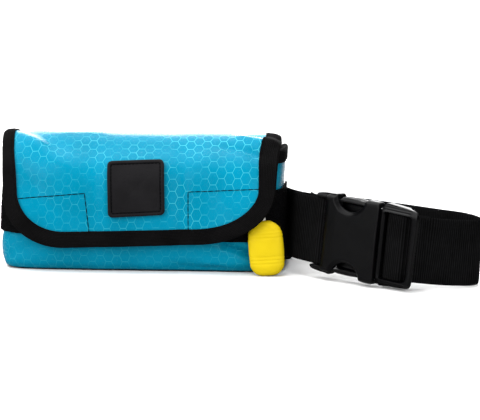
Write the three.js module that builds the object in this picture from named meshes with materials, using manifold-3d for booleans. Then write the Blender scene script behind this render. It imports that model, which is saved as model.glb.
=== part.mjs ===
// Inflatable belt pack: a soft pouch with a front flap, a badge and a pull toggle, on a webbing belt.
// Millimetres, +Z up, the flap's front faces -Y, and the origin is the centre of the pouch's flat base.
import * as THREE from 'three';
import { mergeVertices } from 'three/addons/utils/BufferGeometryUtils.js';
import Module from 'manifold-3d';

const wasm = await Module();
wasm.setup();

// Driving sizes
const GAP = 0.3;
const SEWN_GAP = 0.4;
const POUCH_WALL = 1.8;
const FLAP_CLOTH = 1.4;
const BINDING_TAPE = 0.9;
const BINDING_WIDTH = 8.6;
const STRIP_CLOTH = 1.2;
const SLEEVE_CLOTH = 1.4;
const WEBBING_WIDTH = 38.4;
const WEBBING_THICK = 1.8;
const BADGE_SIDE = 33;
const CORD_DIAMETER = 2.2;

// The pouch: plan sections up its height, each a rounded box outline whose front is squarer at the base
const PLAN = { points: 52, square: 4.6, halfWidth: 80, halfDepth: 29, girth: 420, fineSteps: 1440 };
const POUCH_SECTIONS = [
  { z: 0, halfWidth: 77, front: -24.5, back: 24.5, frontSquare: 8 },
  { z: 1.5, halfWidth: 79.4, front: -26.8, back: 27, frontSquare: 8 },
  { z: 5, halfWidth: 80.9, front: -28.8, back: 28.2, frontSquare: 7.2 },
  { z: 13, halfWidth: 81.4, front: -30, back: 28.5, frontSquare: 6 },
  { z: 28, halfWidth: 81, front: -30.4, back: 28.5, frontSquare: 4.8 },
  { z: 44, halfWidth: 80.4, front: -28.8, back: 28.5, frontSquare: 4.6 },
  { z: 56, halfWidth: 81, front: -25.4, back: 28, frontSquare: 4.6 },
  { z: 69, halfWidth: 81.6, front: -18.8, back: 26, frontSquare: 4.6 },
];
const POUCH_ROWS = [0, 1.5, 5, 12, 20, 28, 36, 45];
const RIM_ROWS = 3;
const RIM = { front: 63, side: 67.5, back: 57 };
const RIM_LEVEL = 56;
const RIM_FRONT_Y = { full: -24, none: -17 };
const RIM_BACK_Y = { none: 8, full: 22 };
const MOUTH_TAPE_DEPTH = 7;
const MOUTH_TAPE_END_Y = 14;

// The fastener strip on the pouch's front
const STRIP = { bottom: 20.5, sideBottom: 5, top: 45.5, rows: 6, endY: 7 };
const STRIP_DROP_Y = { from: -24, to: -14 };

// The flap: its side profile from the back seam over the top to the front edge
const FLAP_PROFILE = [
  { y: 29.6, z: 48.5 },
  { y: 29.8, z: 57 },
  { y: 28, z: 64.2 },
  { y: 21.5, z: 70.2 },
  { y: 10, z: 73.6 },
  { y: -3, z: 75.4 },
  { y: -14.5, z: 73.6 },
  { y: -23.8, z: 67 },
  { y: -29.8, z: 57.5 },
  { y: -32.7, z: 46 },
  { y: -34.4, z: 34 },
  { y: -35, z: 24 },
  { y: -34.7, z: 17.4 },
];
const FLAP_SIDES = [
  { share: 0, left: -79, right: 76 },
  { share: 0.3, left: -80, right: 77.5 },
  { share: 0.45, left: -80.6, right: 79 },
  { share: 0.75, left: -79, right: 77.6 },
  { share: 1, left: -79, right: 77.6 },
];
const FLAP_CORNER = { left: 35, right: 45, height: 30 };
const FLAP_ROWS = 20;
const FLAP_CORNER_ROWS = 8;
const FLAP_COLUMNS = 18;
const FLAP_LENGTH_STEPS = 600;
const FLAP_EDGE_RISE = 0.04;
const FLAP_BOW = 1.8;
const FLAP_TOGGLE_LIFT = { x: 68, z: 27, reach: 22, height: 5.6 };
const FLAP_FRONT_FACING = { from: 0.2, to: 0.8 };
const FLAP_HALF = 80;

// The badge on the flap, in steps from its outline inwards
const BADGE = { x: -2.7, z: 49.6, turn: 2, corner: 3, minCorner: 0.4, arcSteps: 3 };
const BADGE_STEPS = [
  { inset: 11, height: 0 },
  { inset: 5.5, height: 0 },
  { inset: 0, height: 0 },
  { inset: 0, height: 1.5 },
  { inset: 0.5, height: 2 },
  { inset: 1.8, height: 2 },
  { inset: 2.3, height: 1.4 },
  { inset: 6.5, height: 1.4 },
  { inset: 11, height: 1.4 },
];

// The belt sleeve on the back, a shallow tunnel with a hem above and below
const SLEEVE = { bottom: 0.3, top: 42.3, tunnelBottom: 1.3, tunnelTop: 40.6, tunnelDepth: 2.9 };
const SLEEVE_PLAN_Z = 24;
const SLEEVE_LEFT_X = -62;
const SLEEVE_LEAVE = { x: 0.5, y: -0.86 };
const SLEEVE_TURN = 2;
const SLEEVE_TAB = 3;
const BELT_IN_SLEEVE = { offset: 1.4, z: 20.9 };

// The buckle: its place, heading, pitch along the belt and lean
const BUCKLE = { x: 109.2, y: -38.7, z: 27.4, headingDeg: -34, pitchDeg: 3.3, leanDeg: 5 };
const SOCKET = { length: 39, halfWidth: 24, thick: 12.5, bevel: 1.8 };
const SOCKET_OUTLINE = [
  { x: 0, y: -22.4, round: 3 },
  { x: 13, y: -24, round: 3 },
  { x: 39, y: -24, round: 3 },
  { x: 39, y: 24, round: 3 },
  { x: 13, y: 24, round: 3 },
  { x: 0, y: 22.4, round: 3 },
];
const SOCKET_LUG = [
  { x: 5, y: 19.7, round: 1 },
  { x: 5, y: 23, round: 1 },
  { x: -4.5, y: 22.5, round: 4 },
  { x: -9.8, y: 21.4, round: 0.8 },
  { x: -9.8, y: 19.7, round: 0.6 },
];
const SOCKET_LUG_THICK = 9;
const SOCKET_LUG_BEVEL = 0.35;
const SOCKET_BAR = { x: -4.6, radius: 2, halfLength: 21, sides: 12 };
const SOCKET_SCOOP = { x: 17.6, halfLength: 10.6, depth: 9, rise: 1.5, curveSteps: 14 };
const SOCKET_CAVITY = { start: 3, halfWidth: 20.75, halfThick: 4 };
const PLUG = { start: 39.6, thick: 9, bevel: 1.2 };
const PLUG_OUTLINE = [
  { x: 39.6, y: -24, round: 2 },
  { x: 63.6, y: -22.4, round: 5 },
  { x: 65.4, y: 22.4, round: 6 },
  { x: 39.6, y: 24, round: 2 },
];
const PLUG_WINDOW = { start: 41, end: 61.5, halfWidth: 19.7 };
const PLUG_BAR = { start: 44.4, end: 54, back: -2, front: 0.9 };
// The frame's back slopes up to a thin end bar: length and height
const PLUG_BACK_CUT = [
  { x: 51, y: -6 },
  { x: 70, y: -6 },
  { x: 70, y: 1.6 },
  { x: 62, y: 1.4 },
  { x: 60.4, y: 0.6 },
];
const PLUG_GUIDE = { tip: 20, halfWidth: 3, halfThick: 3 };
const PLUG_ARM_HALF_THICK = 3.4;
const PLUG_ARM_BEVEL = 0.8;
const PLUG_ARM = [
  { x: 41, y: 9.5 },
  { x: 41, y: 16 },
  { x: 34, y: 17.6 },
  { x: 27.4, y: 20.2 },
  { x: 25.6, y: 22 },
  { x: 17.6, y: 22.6 },
  { x: 10.4, y: 22.3 },
  { x: 8.4, y: 20.4 },
  { x: 8.4, y: 17 },
  { x: 26, y: 13.6 },
  { x: 34, y: 9.5 },
];

// The belt's route. Along the buckle it is given in the buckle's own length and height
const SOCKET_RETURN = [
  { along: -21, height: -8 },
  { along: -15.5, height: -4.6 },
  { along: -10, height: -3.2 },
];
const SOCKET_FRONT = [
  { along: -9.5, height: 2.6 },
  { along: -14.5, height: 0 },
  { along: -20.5, height: -4.4 },
];
const SOCKET_WRAP = { radius: 3.3, steps: 7 };
const PLUG_TAIL = [
  { along: 62, height: -12.2 },
  { along: 57, height: -8.8 },
  { along: 52, height: -6.4 },
  { along: 48.5, height: -5.5 },
  { along: 46, height: -5 },
  { along: 44.1, height: -3.6 },
  { along: 43.3, height: -1.6 },
  { along: 43.2, height: 0 },
  { along: 43.55, height: 1.6 },
  { along: 44.8, height: 2.4 },
  { along: 49.2, height: 2.6 },
  { along: 53.6, height: 2.4 },
  { along: 54.9, height: 1.6 },
  { along: 55.4, height: 0.2 },
  { along: 56.6, height: -1.2 },
  { along: 58.6, height: -3.2 },
  { along: 62, height: -6.4 },
  { along: 66, height: -9.6 },
];
// From the plug round the far end and back behind the pouch, standing on its edge
const BELT_LOOP = [
  { x: 177.6, y: -64, z: 21.4, topX: 0.04, topY: 0 },
  { x: 186.4, y: -60.4, z: 20.5, topX: 0.03, topY: 0 },
  { x: 193, y: -57, z: 19.9, topX: 0.05, topY: 0 },
  { x: 196.6, y: -51.4, z: 19.7, topX: 0.07, topY: 0 },
  { x: 194.6, y: -45.4, z: 19.7, topX: 0.04, topY: 0 },
  { x: 188, y: -40.6, z: 19.7, topX: 0, topY: 0 },
  { x: 173, y: -30.4, z: 19.7, topX: 0, topY: 0 },
  { x: 148, y: -14, z: 19.7, topX: 0, topY: 0 },
  { x: 120, y: 3, z: 19.7, topX: 0, topY: 0 },
  { x: 98, y: 16.6, z: 19.7, topX: 0, topY: 0 },
  { x: 89, y: 24, z: 19.7, topX: 0, topY: 0 },
  { x: 83, y: 31, z: 19.7, topX: 0, topY: 0 },
  { x: 77, y: 38.4, z: 19.7, topX: 0, topY: 0 },
  { x: 70, y: 50, z: 19.7, topX: 0, topY: 0 },
  { x: 66, y: 66, z: 19.7, topX: 0, topY: 0 },
  { x: 65, y: 90, z: 19.7, topX: 0, topY: 0 },
  { x: 57, y: 120, z: 19.7, topX: 0, topY: 0 },
  { x: 34, y: 143, z: 19.7, topX: 0, topY: 0 },
  { x: 0, y: 152, z: 19.7, topX: 0, topY: 0 },
  { x: -34, y: 143, z: 19.7, topX: 0, topY: 0 },
  { x: -57, y: 120, z: 19.7, topX: 0, topY: 0 },
  { x: -68, y: 90, z: 19.7, topX: 0, topY: 0 },
  { x: -74, y: 66, z: 19.8, topX: 0, topY: 0 },
  { x: -76, y: 50, z: 20.2, topX: 0, topY: 0 },
  { x: -70.5, y: 36.4, z: 20.7, topX: 0, topY: 0 },
];
const BELT_STEP = 11;

// The pull toggle: cross sections up its height, and where it stands
const TOGGLE_SECTIONS = [
  { up: 0, halfWidth: 5, halfThick: 1.4 },
  { up: 0.7, halfWidth: 7.4, halfThick: 2.7 },
  { up: 2.2, halfWidth: 9.2, halfThick: 3.7 },
  { up: 5, halfWidth: 10.2, halfThick: 4.2 },
  { up: 14, halfWidth: 10.5, halfThick: 4.3 },
  { up: 24, halfWidth: 10.4, halfThick: 3.8 },
  { up: 27.5, halfWidth: 10, halfThick: 3.3 },
  { up: 30, halfWidth: 9, halfThick: 2.8 },
  { up: 31.8, halfWidth: 7.4, halfThick: 2.3 },
  { up: 32.8, halfWidth: 5.6, halfThick: 1.8 },
  { up: 33.2, halfWidth: 4, halfThick: 1.4 },
];
const TOGGLE = { x: 74, y: -34.1, z: 0.1, topX: -0.079, topY: 0.03, points: 24, square: 2.6 };

// The pull cord: from the toggle's top up under the flap and over the rim into the mouth
const CORD_ROUTE = [
  { x: 71.3, y: -33, z: 33.6 },
  { x: 70.2, y: -32.2, z: 37.5 },
  { x: 68.2, y: -31, z: 42 },
  { x: 66, y: -29.6, z: 47.5 },
  { x: 64.6, y: -27.3, z: 53.5 },
  { x: 64, y: -24.8, z: 59 },
  { x: 63.6, y: -23.3, z: 62.9 },
  { x: 63.3, y: -20.5, z: 66.7 },
  { x: 63, y: -15, z: 67.4 },
  { x: 62.8, y: -11.9, z: 63.6 },
  { x: 62.7, y: -10.9, z: 56 },
];
const CORD_STEPS = 22;
const CORD_SIDES = 8;

// A cubic curve through the rows of a table, one value for each column
function tableCurve(rows, axis) {
  const columns = Object.keys(rows[0]).filter((key) => key !== axis);
  const last = rows.length - 1;
  const slope = (i, key) => {
    const a = rows[Math.max(0, i - 1)];
    const b = rows[Math.min(last, i + 1)];
    return (b[key] - a[key]) / (b[axis] - a[axis]);
  };
  return (at) => {
    let i = 0;
    while (i < last - 1 && at > rows[i + 1][axis]) i += 1;
    const span = rows[i + 1][axis] - rows[i][axis];
    const t = THREE.MathUtils.clamp((at - rows[i][axis]) / span, 0, 1);
    const values = {};
    for (const key of columns) {
      const p0 = rows[i][key];
      const p1 = rows[i + 1][key];
      const m0 = slope(i, key) * span;
      const m1 = slope(i + 1, key) * span;
      const t2 = t * t;
      const t3 = t2 * t;
      const fromStart = (2 * t3 - 3 * t2 + 1) * p0 + (t3 - 2 * t2 + t) * m0;
      const fromEnd = (3 * t2 - 2 * t3) * p1 + (t3 - t2) * m1;
      values[key] = fromStart + fromEnd;
    }
    return values;
  };
}

// A closed solid lofted through rings of equal length, with its two ends capped
function loft(rings, capFaces = null) {
  const count = rings[0].length;
  const positions = [];
  const indices = [];
  rings.forEach((ring) => ring.forEach((p) => positions.push(p.x, p.y, p.z)));
  for (let j = 0; j < rings.length - 1; j += 1) {
    for (let i = 0; i < count; i += 1) {
      const a = j * count + i;
      const b = j * count + ((i + 1) % count);
      indices.push(a, b, b + count, a, b + count, a + count);
    }
  }
  addCap(positions, indices, rings[0], 0, true, capFaces);
  addCap(positions, indices, rings[rings.length - 1], (rings.length - 1) * count, false, capFaces);
  return outwardGeometry(positions, indices);
}

// Closes one end of a loft, by given faces or by a fan round the ring's middle
function addCap(positions, indices, ring, offset, atStart, capFaces) {
  const put = (a, b, c) => (atStart ? indices.push(c, b, a) : indices.push(a, b, c));
  if (capFaces) {
    capFaces.forEach(([a, b, c]) => put(offset + a, offset + b, offset + c));
    return;
  }
  const middle = ring.reduce((sum, p) => sum.add(p), new THREE.Vector3()).divideScalar(ring.length);
  const centre = positions.length / 3;
  positions.push(middle.x, middle.y, middle.z);
  ring.forEach((_, i) => put(offset + i, offset + ((i + 1) % ring.length), centre));
}

// Builds a geometry and turns it so that its faces point out
function outwardGeometry(positions, indices) {
  const at = (i) => new THREE.Vector3().fromArray(positions, i * 3);
  let volume = 0;
  for (let k = 0; k < indices.length; k += 3) {
    volume += at(indices[k]).dot(at(indices[k + 1]).cross(at(indices[k + 2])));
  }
  if (volume < 0) indices.reverse();
  const geometry = new THREE.BufferGeometry();
  geometry.setAttribute('position', new THREE.Float32BufferAttribute(positions, 3));
  geometry.setIndex(indices);
  geometry.computeVertexNormals();
  return geometry;
}

// Faces for the end of a strip whose flat section is not convex
function sectionFaces(section) {
  const outline = section.map(({ across, height }) => new THREE.Vector2(across, height));
  const clockwise = THREE.ShapeUtils.isClockWise(outline);
  return THREE.ShapeUtils.triangulateShape(outline, []).map((face) => {
    const turned = THREE.ShapeUtils.isClockWise(face.map((k) => outline[k]));
    return turned === clockwise ? face : face.slice().reverse();
  });
}

function toManifold(geometry) {
  const bare = geometry.clone();
  bare.deleteAttribute('normal');
  bare.deleteAttribute('uv');
  const merged = mergeVertices(bare, 1e-4);
  return new wasm.Manifold(new wasm.Mesh({
    numProp: 3,
    vertProperties: new Float32Array(merged.attributes.position.array),
    triVerts: new Uint32Array(merged.index.array),
  }));
}

function toGeometry(manifold) {
  const mesh = manifold.getMesh();
  const geometry = new THREE.BufferGeometry();
  geometry.setAttribute('position', new THREE.BufferAttribute(mesh.vertProperties, 3));
  geometry.setIndex(new THREE.BufferAttribute(mesh.triVerts, 1));
  geometry.computeVertexNormals();
  return geometry;
}

// A box between two corners
function block(low, high) {
  const size = new THREE.Vector3().subVectors(high, low);
  const geometry = new THREE.BoxGeometry(size.x, size.y, size.z);
  geometry.translate((low.x + high.x) / 2, (low.y + high.y) / 2, (low.z + high.z) / 2);
  return toManifold(geometry);
}

// An outline extruded to a thickness, centred on its own plane, with rounded edges
function plate(shape, thick, bevel, curveSegments = 5) {
  const geometry = new THREE.ExtrudeGeometry(shape, {
    depth: thick - 2 * bevel,
    bevelEnabled: bevel > 0,
    bevelThickness: bevel,
    bevelSize: bevel,
    bevelOffset: -bevel,
    bevelSegments: 2,
    curveSegments,
  });
  geometry.translate(0, 0, -(thick - 2 * bevel) / 2);
  return toManifold(geometry);
}

// A closed outline through corner points, each rounded off by its own distance
function roundedOutline(corners) {
  const shape = new THREE.Shape();
  corners.forEach(({ x, y, round }, k) => {
    const at = new THREE.Vector2(x, y);
    const cut = (other) => at.clone().add(new THREE.Vector2(other.x - x, other.y - y).setLength(round));
    const from = cut(corners[(k + corners.length - 1) % corners.length]);
    const to = cut(corners[(k + 1) % corners.length]);
    if (k === 0) shape.moveTo(from.x, from.y);
    else shape.lineTo(from.x, from.y);
    if (round > 0) shape.quadraticCurveTo(x, y, to.x, to.y);
  });
  return shape;
}

// The same corners on the other side of the buckle's middle line
const mirrored = (corners) => corners.map(({ x, y, round }) => ({ x, y: -y, round })).reverse();

const smooth = (at, from, to) => THREE.MathUtils.smoothstep(at, from, to);
const pouchSection = tableCurve(POUCH_SECTIONS, 'z');

// One side of a rounded box outline: a sine or cosine pushed out towards the box
const squared = (v, square) => Math.sign(v) * Math.abs(v) ** (2 / square);

// Angles round the plan from the back's middle by the right, front and left, closer spaced at its corners
function planAngles() {
  const fine = PLAN.fineSteps;
  const angleAt = (k) => (k / fine) * 2 * Math.PI;
  const points = [];
  for (let k = 0; k <= fine; k += 1) {
    const x = PLAN.halfWidth * squared(Math.sin(angleAt(k)), PLAN.square);
    const y = PLAN.halfDepth * squared(Math.cos(angleAt(k)), PLAN.square);
    points.push(new THREE.Vector2(x, y));
  }
  const heading = (k) => points[k].clone().sub(points[k - 1]).angle();
  const totals = [0];
  for (let k = 1; k <= fine; k += 1) {
    const turn = k > 1 ? Math.abs(Math.sin(heading(k) - heading(k - 1))) : 0;
    totals.push(totals[k - 1] + points[k].distanceTo(points[k - 1]) / PLAN.girth + turn / (2 * Math.PI));
  }
  const angles = [];
  let k = 0;
  for (let i = 0; i < PLAN.points; i += 1) {
    const target = (i / PLAN.points) * totals[fine];
    while (k < fine && totals[k] < target) k += 1;
    angles.push(angleAt(k));
  }
  return angles;
}

const PLAN_ANGLES = planAngles();

function pouchPoint(i, z) {
  const angle = PLAN_ANGLES[(i + PLAN.points) % PLAN.points];
  const { halfWidth, front, back, frontSquare } = pouchSection(z);
  const square = Math.cos(angle) < 0 ? frontSquare : PLAN.square;
  const middle = (front + back) / 2;
  const half = (back - front) / 2;
  const x = halfWidth * squared(Math.sin(angle), square);
  const y = middle + half * squared(Math.cos(angle), square);
  return new THREE.Vector3(x, y, z);
}

// The pouch's outward direction at an outline point and height
function pouchNormal(i, z) {
  const along = pouchPoint(i + 1, z).sub(pouchPoint(i - 1, z));
  const low = Math.max(z - 1, POUCH_SECTIONS[0].z);
  const up = pouchPoint(i, low + 2).sub(pouchPoint(i, low));
  return up.cross(along).normalize();
}

const pouchAt = (i, z, outset) => pouchPoint(i, z).addScaledVector(pouchNormal(i, z), outset);

// The mouth's rim is high at the sides, lower at the front and lowest at the back seam
function rimHeight(i) {
  const { y } = pouchPoint(i, RIM_LEVEL);
  const front = 1 - smooth(y, RIM_FRONT_Y.full, RIM_FRONT_Y.none);
  const back = smooth(y, RIM_BACK_Y.none, RIM_BACK_Y.full);
  return RIM.side + (RIM.front - RIM.side) * front + (RIM.back - RIM.side) * back;
}

const planIndices = [...Array(PLAN.points).keys()];

function rowHeight(i, row) {
  if (row < POUCH_ROWS.length) return POUCH_ROWS[row];
  const top = POUCH_ROWS[POUCH_ROWS.length - 1];
  return top + ((row - POUCH_ROWS.length + 1) / RIM_ROWS) * (rimHeight(i) - top);
}

// The pouch's cloth: up the outside, over the rim, down the inside and across the floor
function pouchBody() {
  const rows = POUCH_ROWS.length + RIM_ROWS;
  const innerFirst = 2;
  const rings = [];
  for (let row = 0; row < rows; row += 1) {
    rings.push(planIndices.map((i) => pouchPoint(i, rowHeight(i, row))));
  }
  for (let row = rows - 1; row >= innerFirst; row -= 1) {
    rings.push(planIndices.map((i) => pouchAt(i, rowHeight(i, row), -POUCH_WALL)));
  }
  const floor = planIndices.map((i) => pouchAt(i, POUCH_ROWS[innerFirst], -2 * POUCH_WALL));
  floor.forEach((p) => p.setZ(POUCH_WALL));
  rings.push(floor);
  return loft(rings);
}

// The outline points on the front and sides, from the right end to the left end
function frontIndices(endY, z) {
  return planIndices.filter((i) => pouchPoint(i, z).y <= endY);
}

// Tape folded over the rim, with an arm outside and an arm inside the wall
function mouthBinding() {
  const outer = GAP + BINDING_TAPE;
  const inner = -POUCH_WALL - outer;
  const middle = -MOUTH_TAPE_DEPTH / 2;
  const section = [
    { across: -MOUTH_TAPE_DEPTH, height: GAP },
    { across: -MOUTH_TAPE_DEPTH, height: outer },
    { across: middle, height: outer },
    { across: outer, height: outer },
    { across: outer, height: inner },
    { across: middle, height: inner },
    { across: -MOUTH_TAPE_DEPTH, height: inner },
    { across: -MOUTH_TAPE_DEPTH, height: -POUCH_WALL - GAP },
    { across: middle, height: -POUCH_WALL - GAP },
    { across: GAP, height: -POUCH_WALL - GAP },
    { across: GAP, height: GAP },
    { across: middle, height: GAP },
  ];
  const place = (i, { across, height }) => {
    const rim = rimHeight(i);
    const up = pouchPoint(i, rim).sub(pouchPoint(i, rim - 1)).normalize();
    return pouchAt(i, rim + Math.min(0, across), height).addScaledVector(up, Math.max(0, across));
  };
  const around = frontIndices(MOUTH_TAPE_END_Y, RIM.side);
  const rings = around.map((i) => section.map((corner) => place(i, corner)));
  return loft(rings, sectionFaces(section));
}

// The fastener strip lies on the pouch's front and runs round both sides, wider on the right
function loopStrip() {
  const shares = [...Array(STRIP.rows + 1).keys()].map((k) => k / STRIP.rows);
  const inside = GAP;
  const outside = GAP + STRIP_CLOTH;
  const section = [
    ...shares.map((share) => ({ across: share, height: outside })),
    ...shares.slice().reverse().map((share) => ({ across: share, height: inside })),
  ];
  const middle = (STRIP.bottom + STRIP.top) / 2;
  const rings = frontIndices(STRIP.endY, middle).map((i) => {
    const { x, y } = pouchPoint(i, middle);
    const drop = x > 0 ? smooth(y, STRIP_DROP_Y.from, STRIP_DROP_Y.to) : 0;
    const bottom = THREE.MathUtils.lerp(STRIP.bottom, STRIP.sideBottom, drop);
    const level = (across) => THREE.MathUtils.lerp(bottom, STRIP.top, across);
    return section.map(({ across, height }) => pouchAt(i, level(across), height));
  });
  return loft(rings, sectionFaces(section));
}

// The flap's middle surface, by distance across it and distance along its profile
const flapPoints = FLAP_PROFILE.map(({ y, z }) => new THREE.Vector3(0, y, z));
const flapCurve = new THREE.CatmullRomCurve3(flapPoints, false, 'centripetal');
flapCurve.arcLengthDivisions = FLAP_LENGTH_STEPS;
const FLAP_LENGTH = flapCurve.getLength();

function flapMiddle(x, along) {
  const run = along - FLAP_EDGE_RISE * x * (along / FLAP_LENGTH) ** 2;
  const u = THREE.MathUtils.clamp(run / FLAP_LENGTH, 0, 1);
  const point = flapCurve.getPointAt(u);
  const tangent = flapCurve.getTangentAt(u);
  point.addScaledVector(tangent, run - u * FLAP_LENGTH);
  const out = new THREE.Vector3(0, tangent.z, -tangent.y);
  const reach = x / FLAP_HALF;
  const bow = -FLAP_BOW * reach ** 2 * Math.max(0, -out.y) ** 2;
  const toggle = FLAP_TOGGLE_LIFT;
  const far = Math.hypot(x - toggle.x, point.z - toggle.z) / toggle.reach;
  const front = smooth(-out.y, FLAP_FRONT_FACING.from, FLAP_FRONT_FACING.to);
  point.addScaledVector(out, bow + front * toggle.height * Math.exp(-far * far));
  point.x = x;
  return point;
}

function flapNormal(x, along) {
  const step = 0.5;
  const across = flapMiddle(x + step, along).sub(flapMiddle(x - step, along));
  const down = flapMiddle(x, along + step).sub(flapMiddle(x, along - step));
  return down.cross(across).normalize();
}

const flapAt = (x, along, height) => flapMiddle(x, along).addScaledVector(flapNormal(x, along), height);

// How far along the profile the flap's front passes a height
function flapAlongAt(z) {
  let low = FLAP_LENGTH * 0.5;
  let high = FLAP_LENGTH;
  for (let k = 0; k < 40; k += 1) {
    const middle = (low + high) / 2;
    if (flapCurve.getPointAt(middle / FLAP_LENGTH).z > z) low = middle;
    else high = middle;
  }
  return low;
}

// Distances along the flap of its rows, closer at the round lower corners
function flapRowsAlong() {
  const straight = FLAP_LENGTH - FLAP_CORNER.height;
  const rows = [...Array(FLAP_ROWS).keys()].map((k) => (straight * k) / FLAP_ROWS);
  for (let k = 0; k <= FLAP_CORNER_ROWS; k += 1) {
    rows.push(straight + FLAP_CORNER.height * Math.sin((k / FLAP_CORNER_ROWS) * (Math.PI / 2)));
  }
  return rows;
}

const flapSide = tableCurve(FLAP_SIDES, 'share');

// The flap's left and right edges at a distance along it
function flapEdges(along) {
  const straight = FLAP_LENGTH - FLAP_CORNER.height;
  const { left, right } = flapSide(along / FLAP_LENGTH);
  const round = THREE.MathUtils.clamp((along - straight) / FLAP_CORNER.height, 0, 1);
  const inset = 1 - Math.sqrt(1 - round * round);
  return { left: left + FLAP_CORNER.left * inset, right: right - FLAP_CORNER.right * inset };
}

function flap() {
  const half = FLAP_CLOTH / 2;
  const columns = [...Array(FLAP_COLUMNS + 1).keys()];
  const rings = flapRowsAlong().map((along) => {
    const { left, right } = flapEdges(along);
    const across = columns.map((k) => THREE.MathUtils.lerp(left, right, k / FLAP_COLUMNS));
    return [
      ...across.map((x) => flapAt(x, along, half)),
      ...across.slice().reverse().map((x) => flapAt(x, along, -half)),
    ];
  });
  const last = 2 * FLAP_COLUMNS + 1;
  const faces = columns.slice(0, -1).flatMap((k) => {
    const under = last - k;
    return [[k, k + 1, under - 1], [k, under - 1, under]];
  });
  return loft(rings, faces);
}

// The flap's free edge from the left seam round the bottom to the right seam
function flapEdgePath() {
  const bottomSteps = 8;
  const rows = flapRowsAlong();
  const left = rows.map((along) => ({ x: flapEdges(along).left, along }));
  const right = rows.map((along) => ({ x: flapEdges(along).right, along })).reverse();
  const start = left[left.length - 1].x;
  const end = right[0].x;
  const bottom = [];
  for (let k = 1; k < bottomSteps; k += 1) {
    bottom.push({ x: THREE.MathUtils.lerp(start, end, k / bottomSteps), along: FLAP_LENGTH });
  }
  return [...left.slice(1), ...bottom, ...right.slice(0, -1)];
}

// Tape folded round the flap's edge
function flapBinding() {
  const near = FLAP_CLOTH / 2 + SEWN_GAP;
  const far = near + BINDING_TAPE;
  const section = [
    { across: BINDING_WIDTH, height: near },
    { across: BINDING_WIDTH, height: far },
    { across: BINDING_WIDTH / 2, height: far },
    { across: -GAP - BINDING_TAPE, height: far },
    { across: -GAP - BINDING_TAPE, height: -far },
    { across: BINDING_WIDTH / 2, height: -far },
    { across: BINDING_WIDTH, height: -far },
    { across: BINDING_WIDTH, height: -near },
    { across: BINDING_WIDTH / 2, height: -near },
    { across: -GAP, height: -near },
    { across: -GAP, height: near },
    { across: BINDING_WIDTH / 2, height: near },
  ];
  const path = flapEdgePath();
  const rings = path.map((edge, i) => {
    const before = path[Math.max(0, i - 1)];
    const after = path[Math.min(path.length - 1, i + 1)];
    const run = new THREE.Vector2(after.x - before.x, after.along - before.along).normalize();
    const at = (across, height) => flapAt(edge.x + run.y * across, edge.along - run.x * across, height);
    return section.map(({ across, height }) => at(across, height));
  });
  return loft(rings, sectionFaces(section));
}

// A square outline with round corners
function badgeOutline(inset) {
  const half = BADGE_SIDE / 2 - inset;
  const radius = Math.max(BADGE.corner - inset, BADGE.minCorner);
  const quarter = Math.PI / 2;
  const centre = new THREE.Vector2();
  const points = [];
  for (let corner = 0; corner < 4; corner += 1) {
    const middle = new THREE.Vector2(half - radius, half - radius).rotateAround(centre, corner * quarter);
    const outwards = (angle) => new THREE.Vector2(radius * Math.cos(angle), radius * Math.sin(angle));
    for (let k = 0; k <= BADGE.arcSteps; k += 1) {
      points.push(outwards((corner + k / BADGE.arcSteps) * quarter).add(middle));
    }
    const next = middle.clone().rotateAround(centre, quarter);
    const reach = outwards((corner + 1) * quarter);
    for (const share of [1 / 3, 2 / 3]) points.push(middle.clone().lerp(next, share).add(reach));
  }
  return points;
}

// The badge follows the flap's curve, with a raised rim
function badge() {
  const along = flapAlongAt(BADGE.z);
  const turn = THREE.MathUtils.degToRad(BADGE.turn);
  const rings = BADGE_STEPS.map(({ inset, height }) => badgeOutline(inset).map((p) => {
    const turned = p.clone().rotateAround(new THREE.Vector2(), turn);
    return flapAt(BADGE.x + turned.x, along - turned.y, FLAP_CLOTH / 2 + SEWN_GAP + height);
  }));
  return loft(rings);
}

// The line that the sleeve and the belt in it follow along the back, up to where the belt leaves it
function backLine() {
  const right = planIndices.slice(0, PLAN.points / 2);
  const left = planIndices.slice(PLAN.points / 2).filter((i) => pouchPoint(i, SLEEVE_PLAN_Z).y > 0);
  const inOrder = [...left, ...right].map((i) => ({
    point: pouchPoint(i, SLEEVE_PLAN_Z),
    out: pouchNormal(i, SLEEVE_PLAN_Z).setZ(0).normalize(),
  }));
  const leave = new THREE.Vector3(SLEEVE_LEAVE.x, SLEEVE_LEAVE.y, 0).normalize();
  const side = new THREE.Vector3(-leave.y, leave.x, 0);
  const kept = inOrder.filter(({ point, out }) => point.x > SLEEVE_LEFT_X && out.y > side.y && point.y > 0);
  const last = kept[kept.length - 1];
  const turnEnd = last.point.clone().addScaledVector(leave, SLEEVE_TURN);
  const tabEnd = last.point.clone().addScaledVector(leave, SLEEVE_TURN + SLEEVE_TAB);
  return [...kept, { point: turnEnd, out: side }, { point: tabEnd, out: side }];
}

const BACK_LINE = backLine();
const onBackLine = ({ point, out }, height, z) => point.clone().addScaledVector(out, height).setZ(z);

function beltSleeve() {
  const near = GAP;
  const far = GAP + SLEEVE_CLOTH;
  const inside = SLEEVE.tunnelDepth;
  const outside = SLEEVE.tunnelDepth + SLEEVE_CLOTH;
  const section = [
    { across: SLEEVE.bottom, height: outside },
    { across: SLEEVE.tunnelTop + SLEEVE_CLOTH, height: outside },
    { across: SLEEVE.tunnelTop + SLEEVE_CLOTH, height: far },
    { across: SLEEVE.top, height: far },
    { across: SLEEVE.top, height: near },
    { across: SLEEVE.tunnelTop, height: near },
    { across: SLEEVE.tunnelTop, height: inside },
    { across: SLEEVE.tunnelBottom, height: inside },
    { across: SLEEVE.tunnelBottom, height: near },
    { across: SLEEVE.bottom, height: near },
  ];
  const ring = (spot) => section.map(({ across, height }) => onBackLine(spot, height, across));
  return loft(BACK_LINE.map(ring), sectionFaces(section));
}

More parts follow.
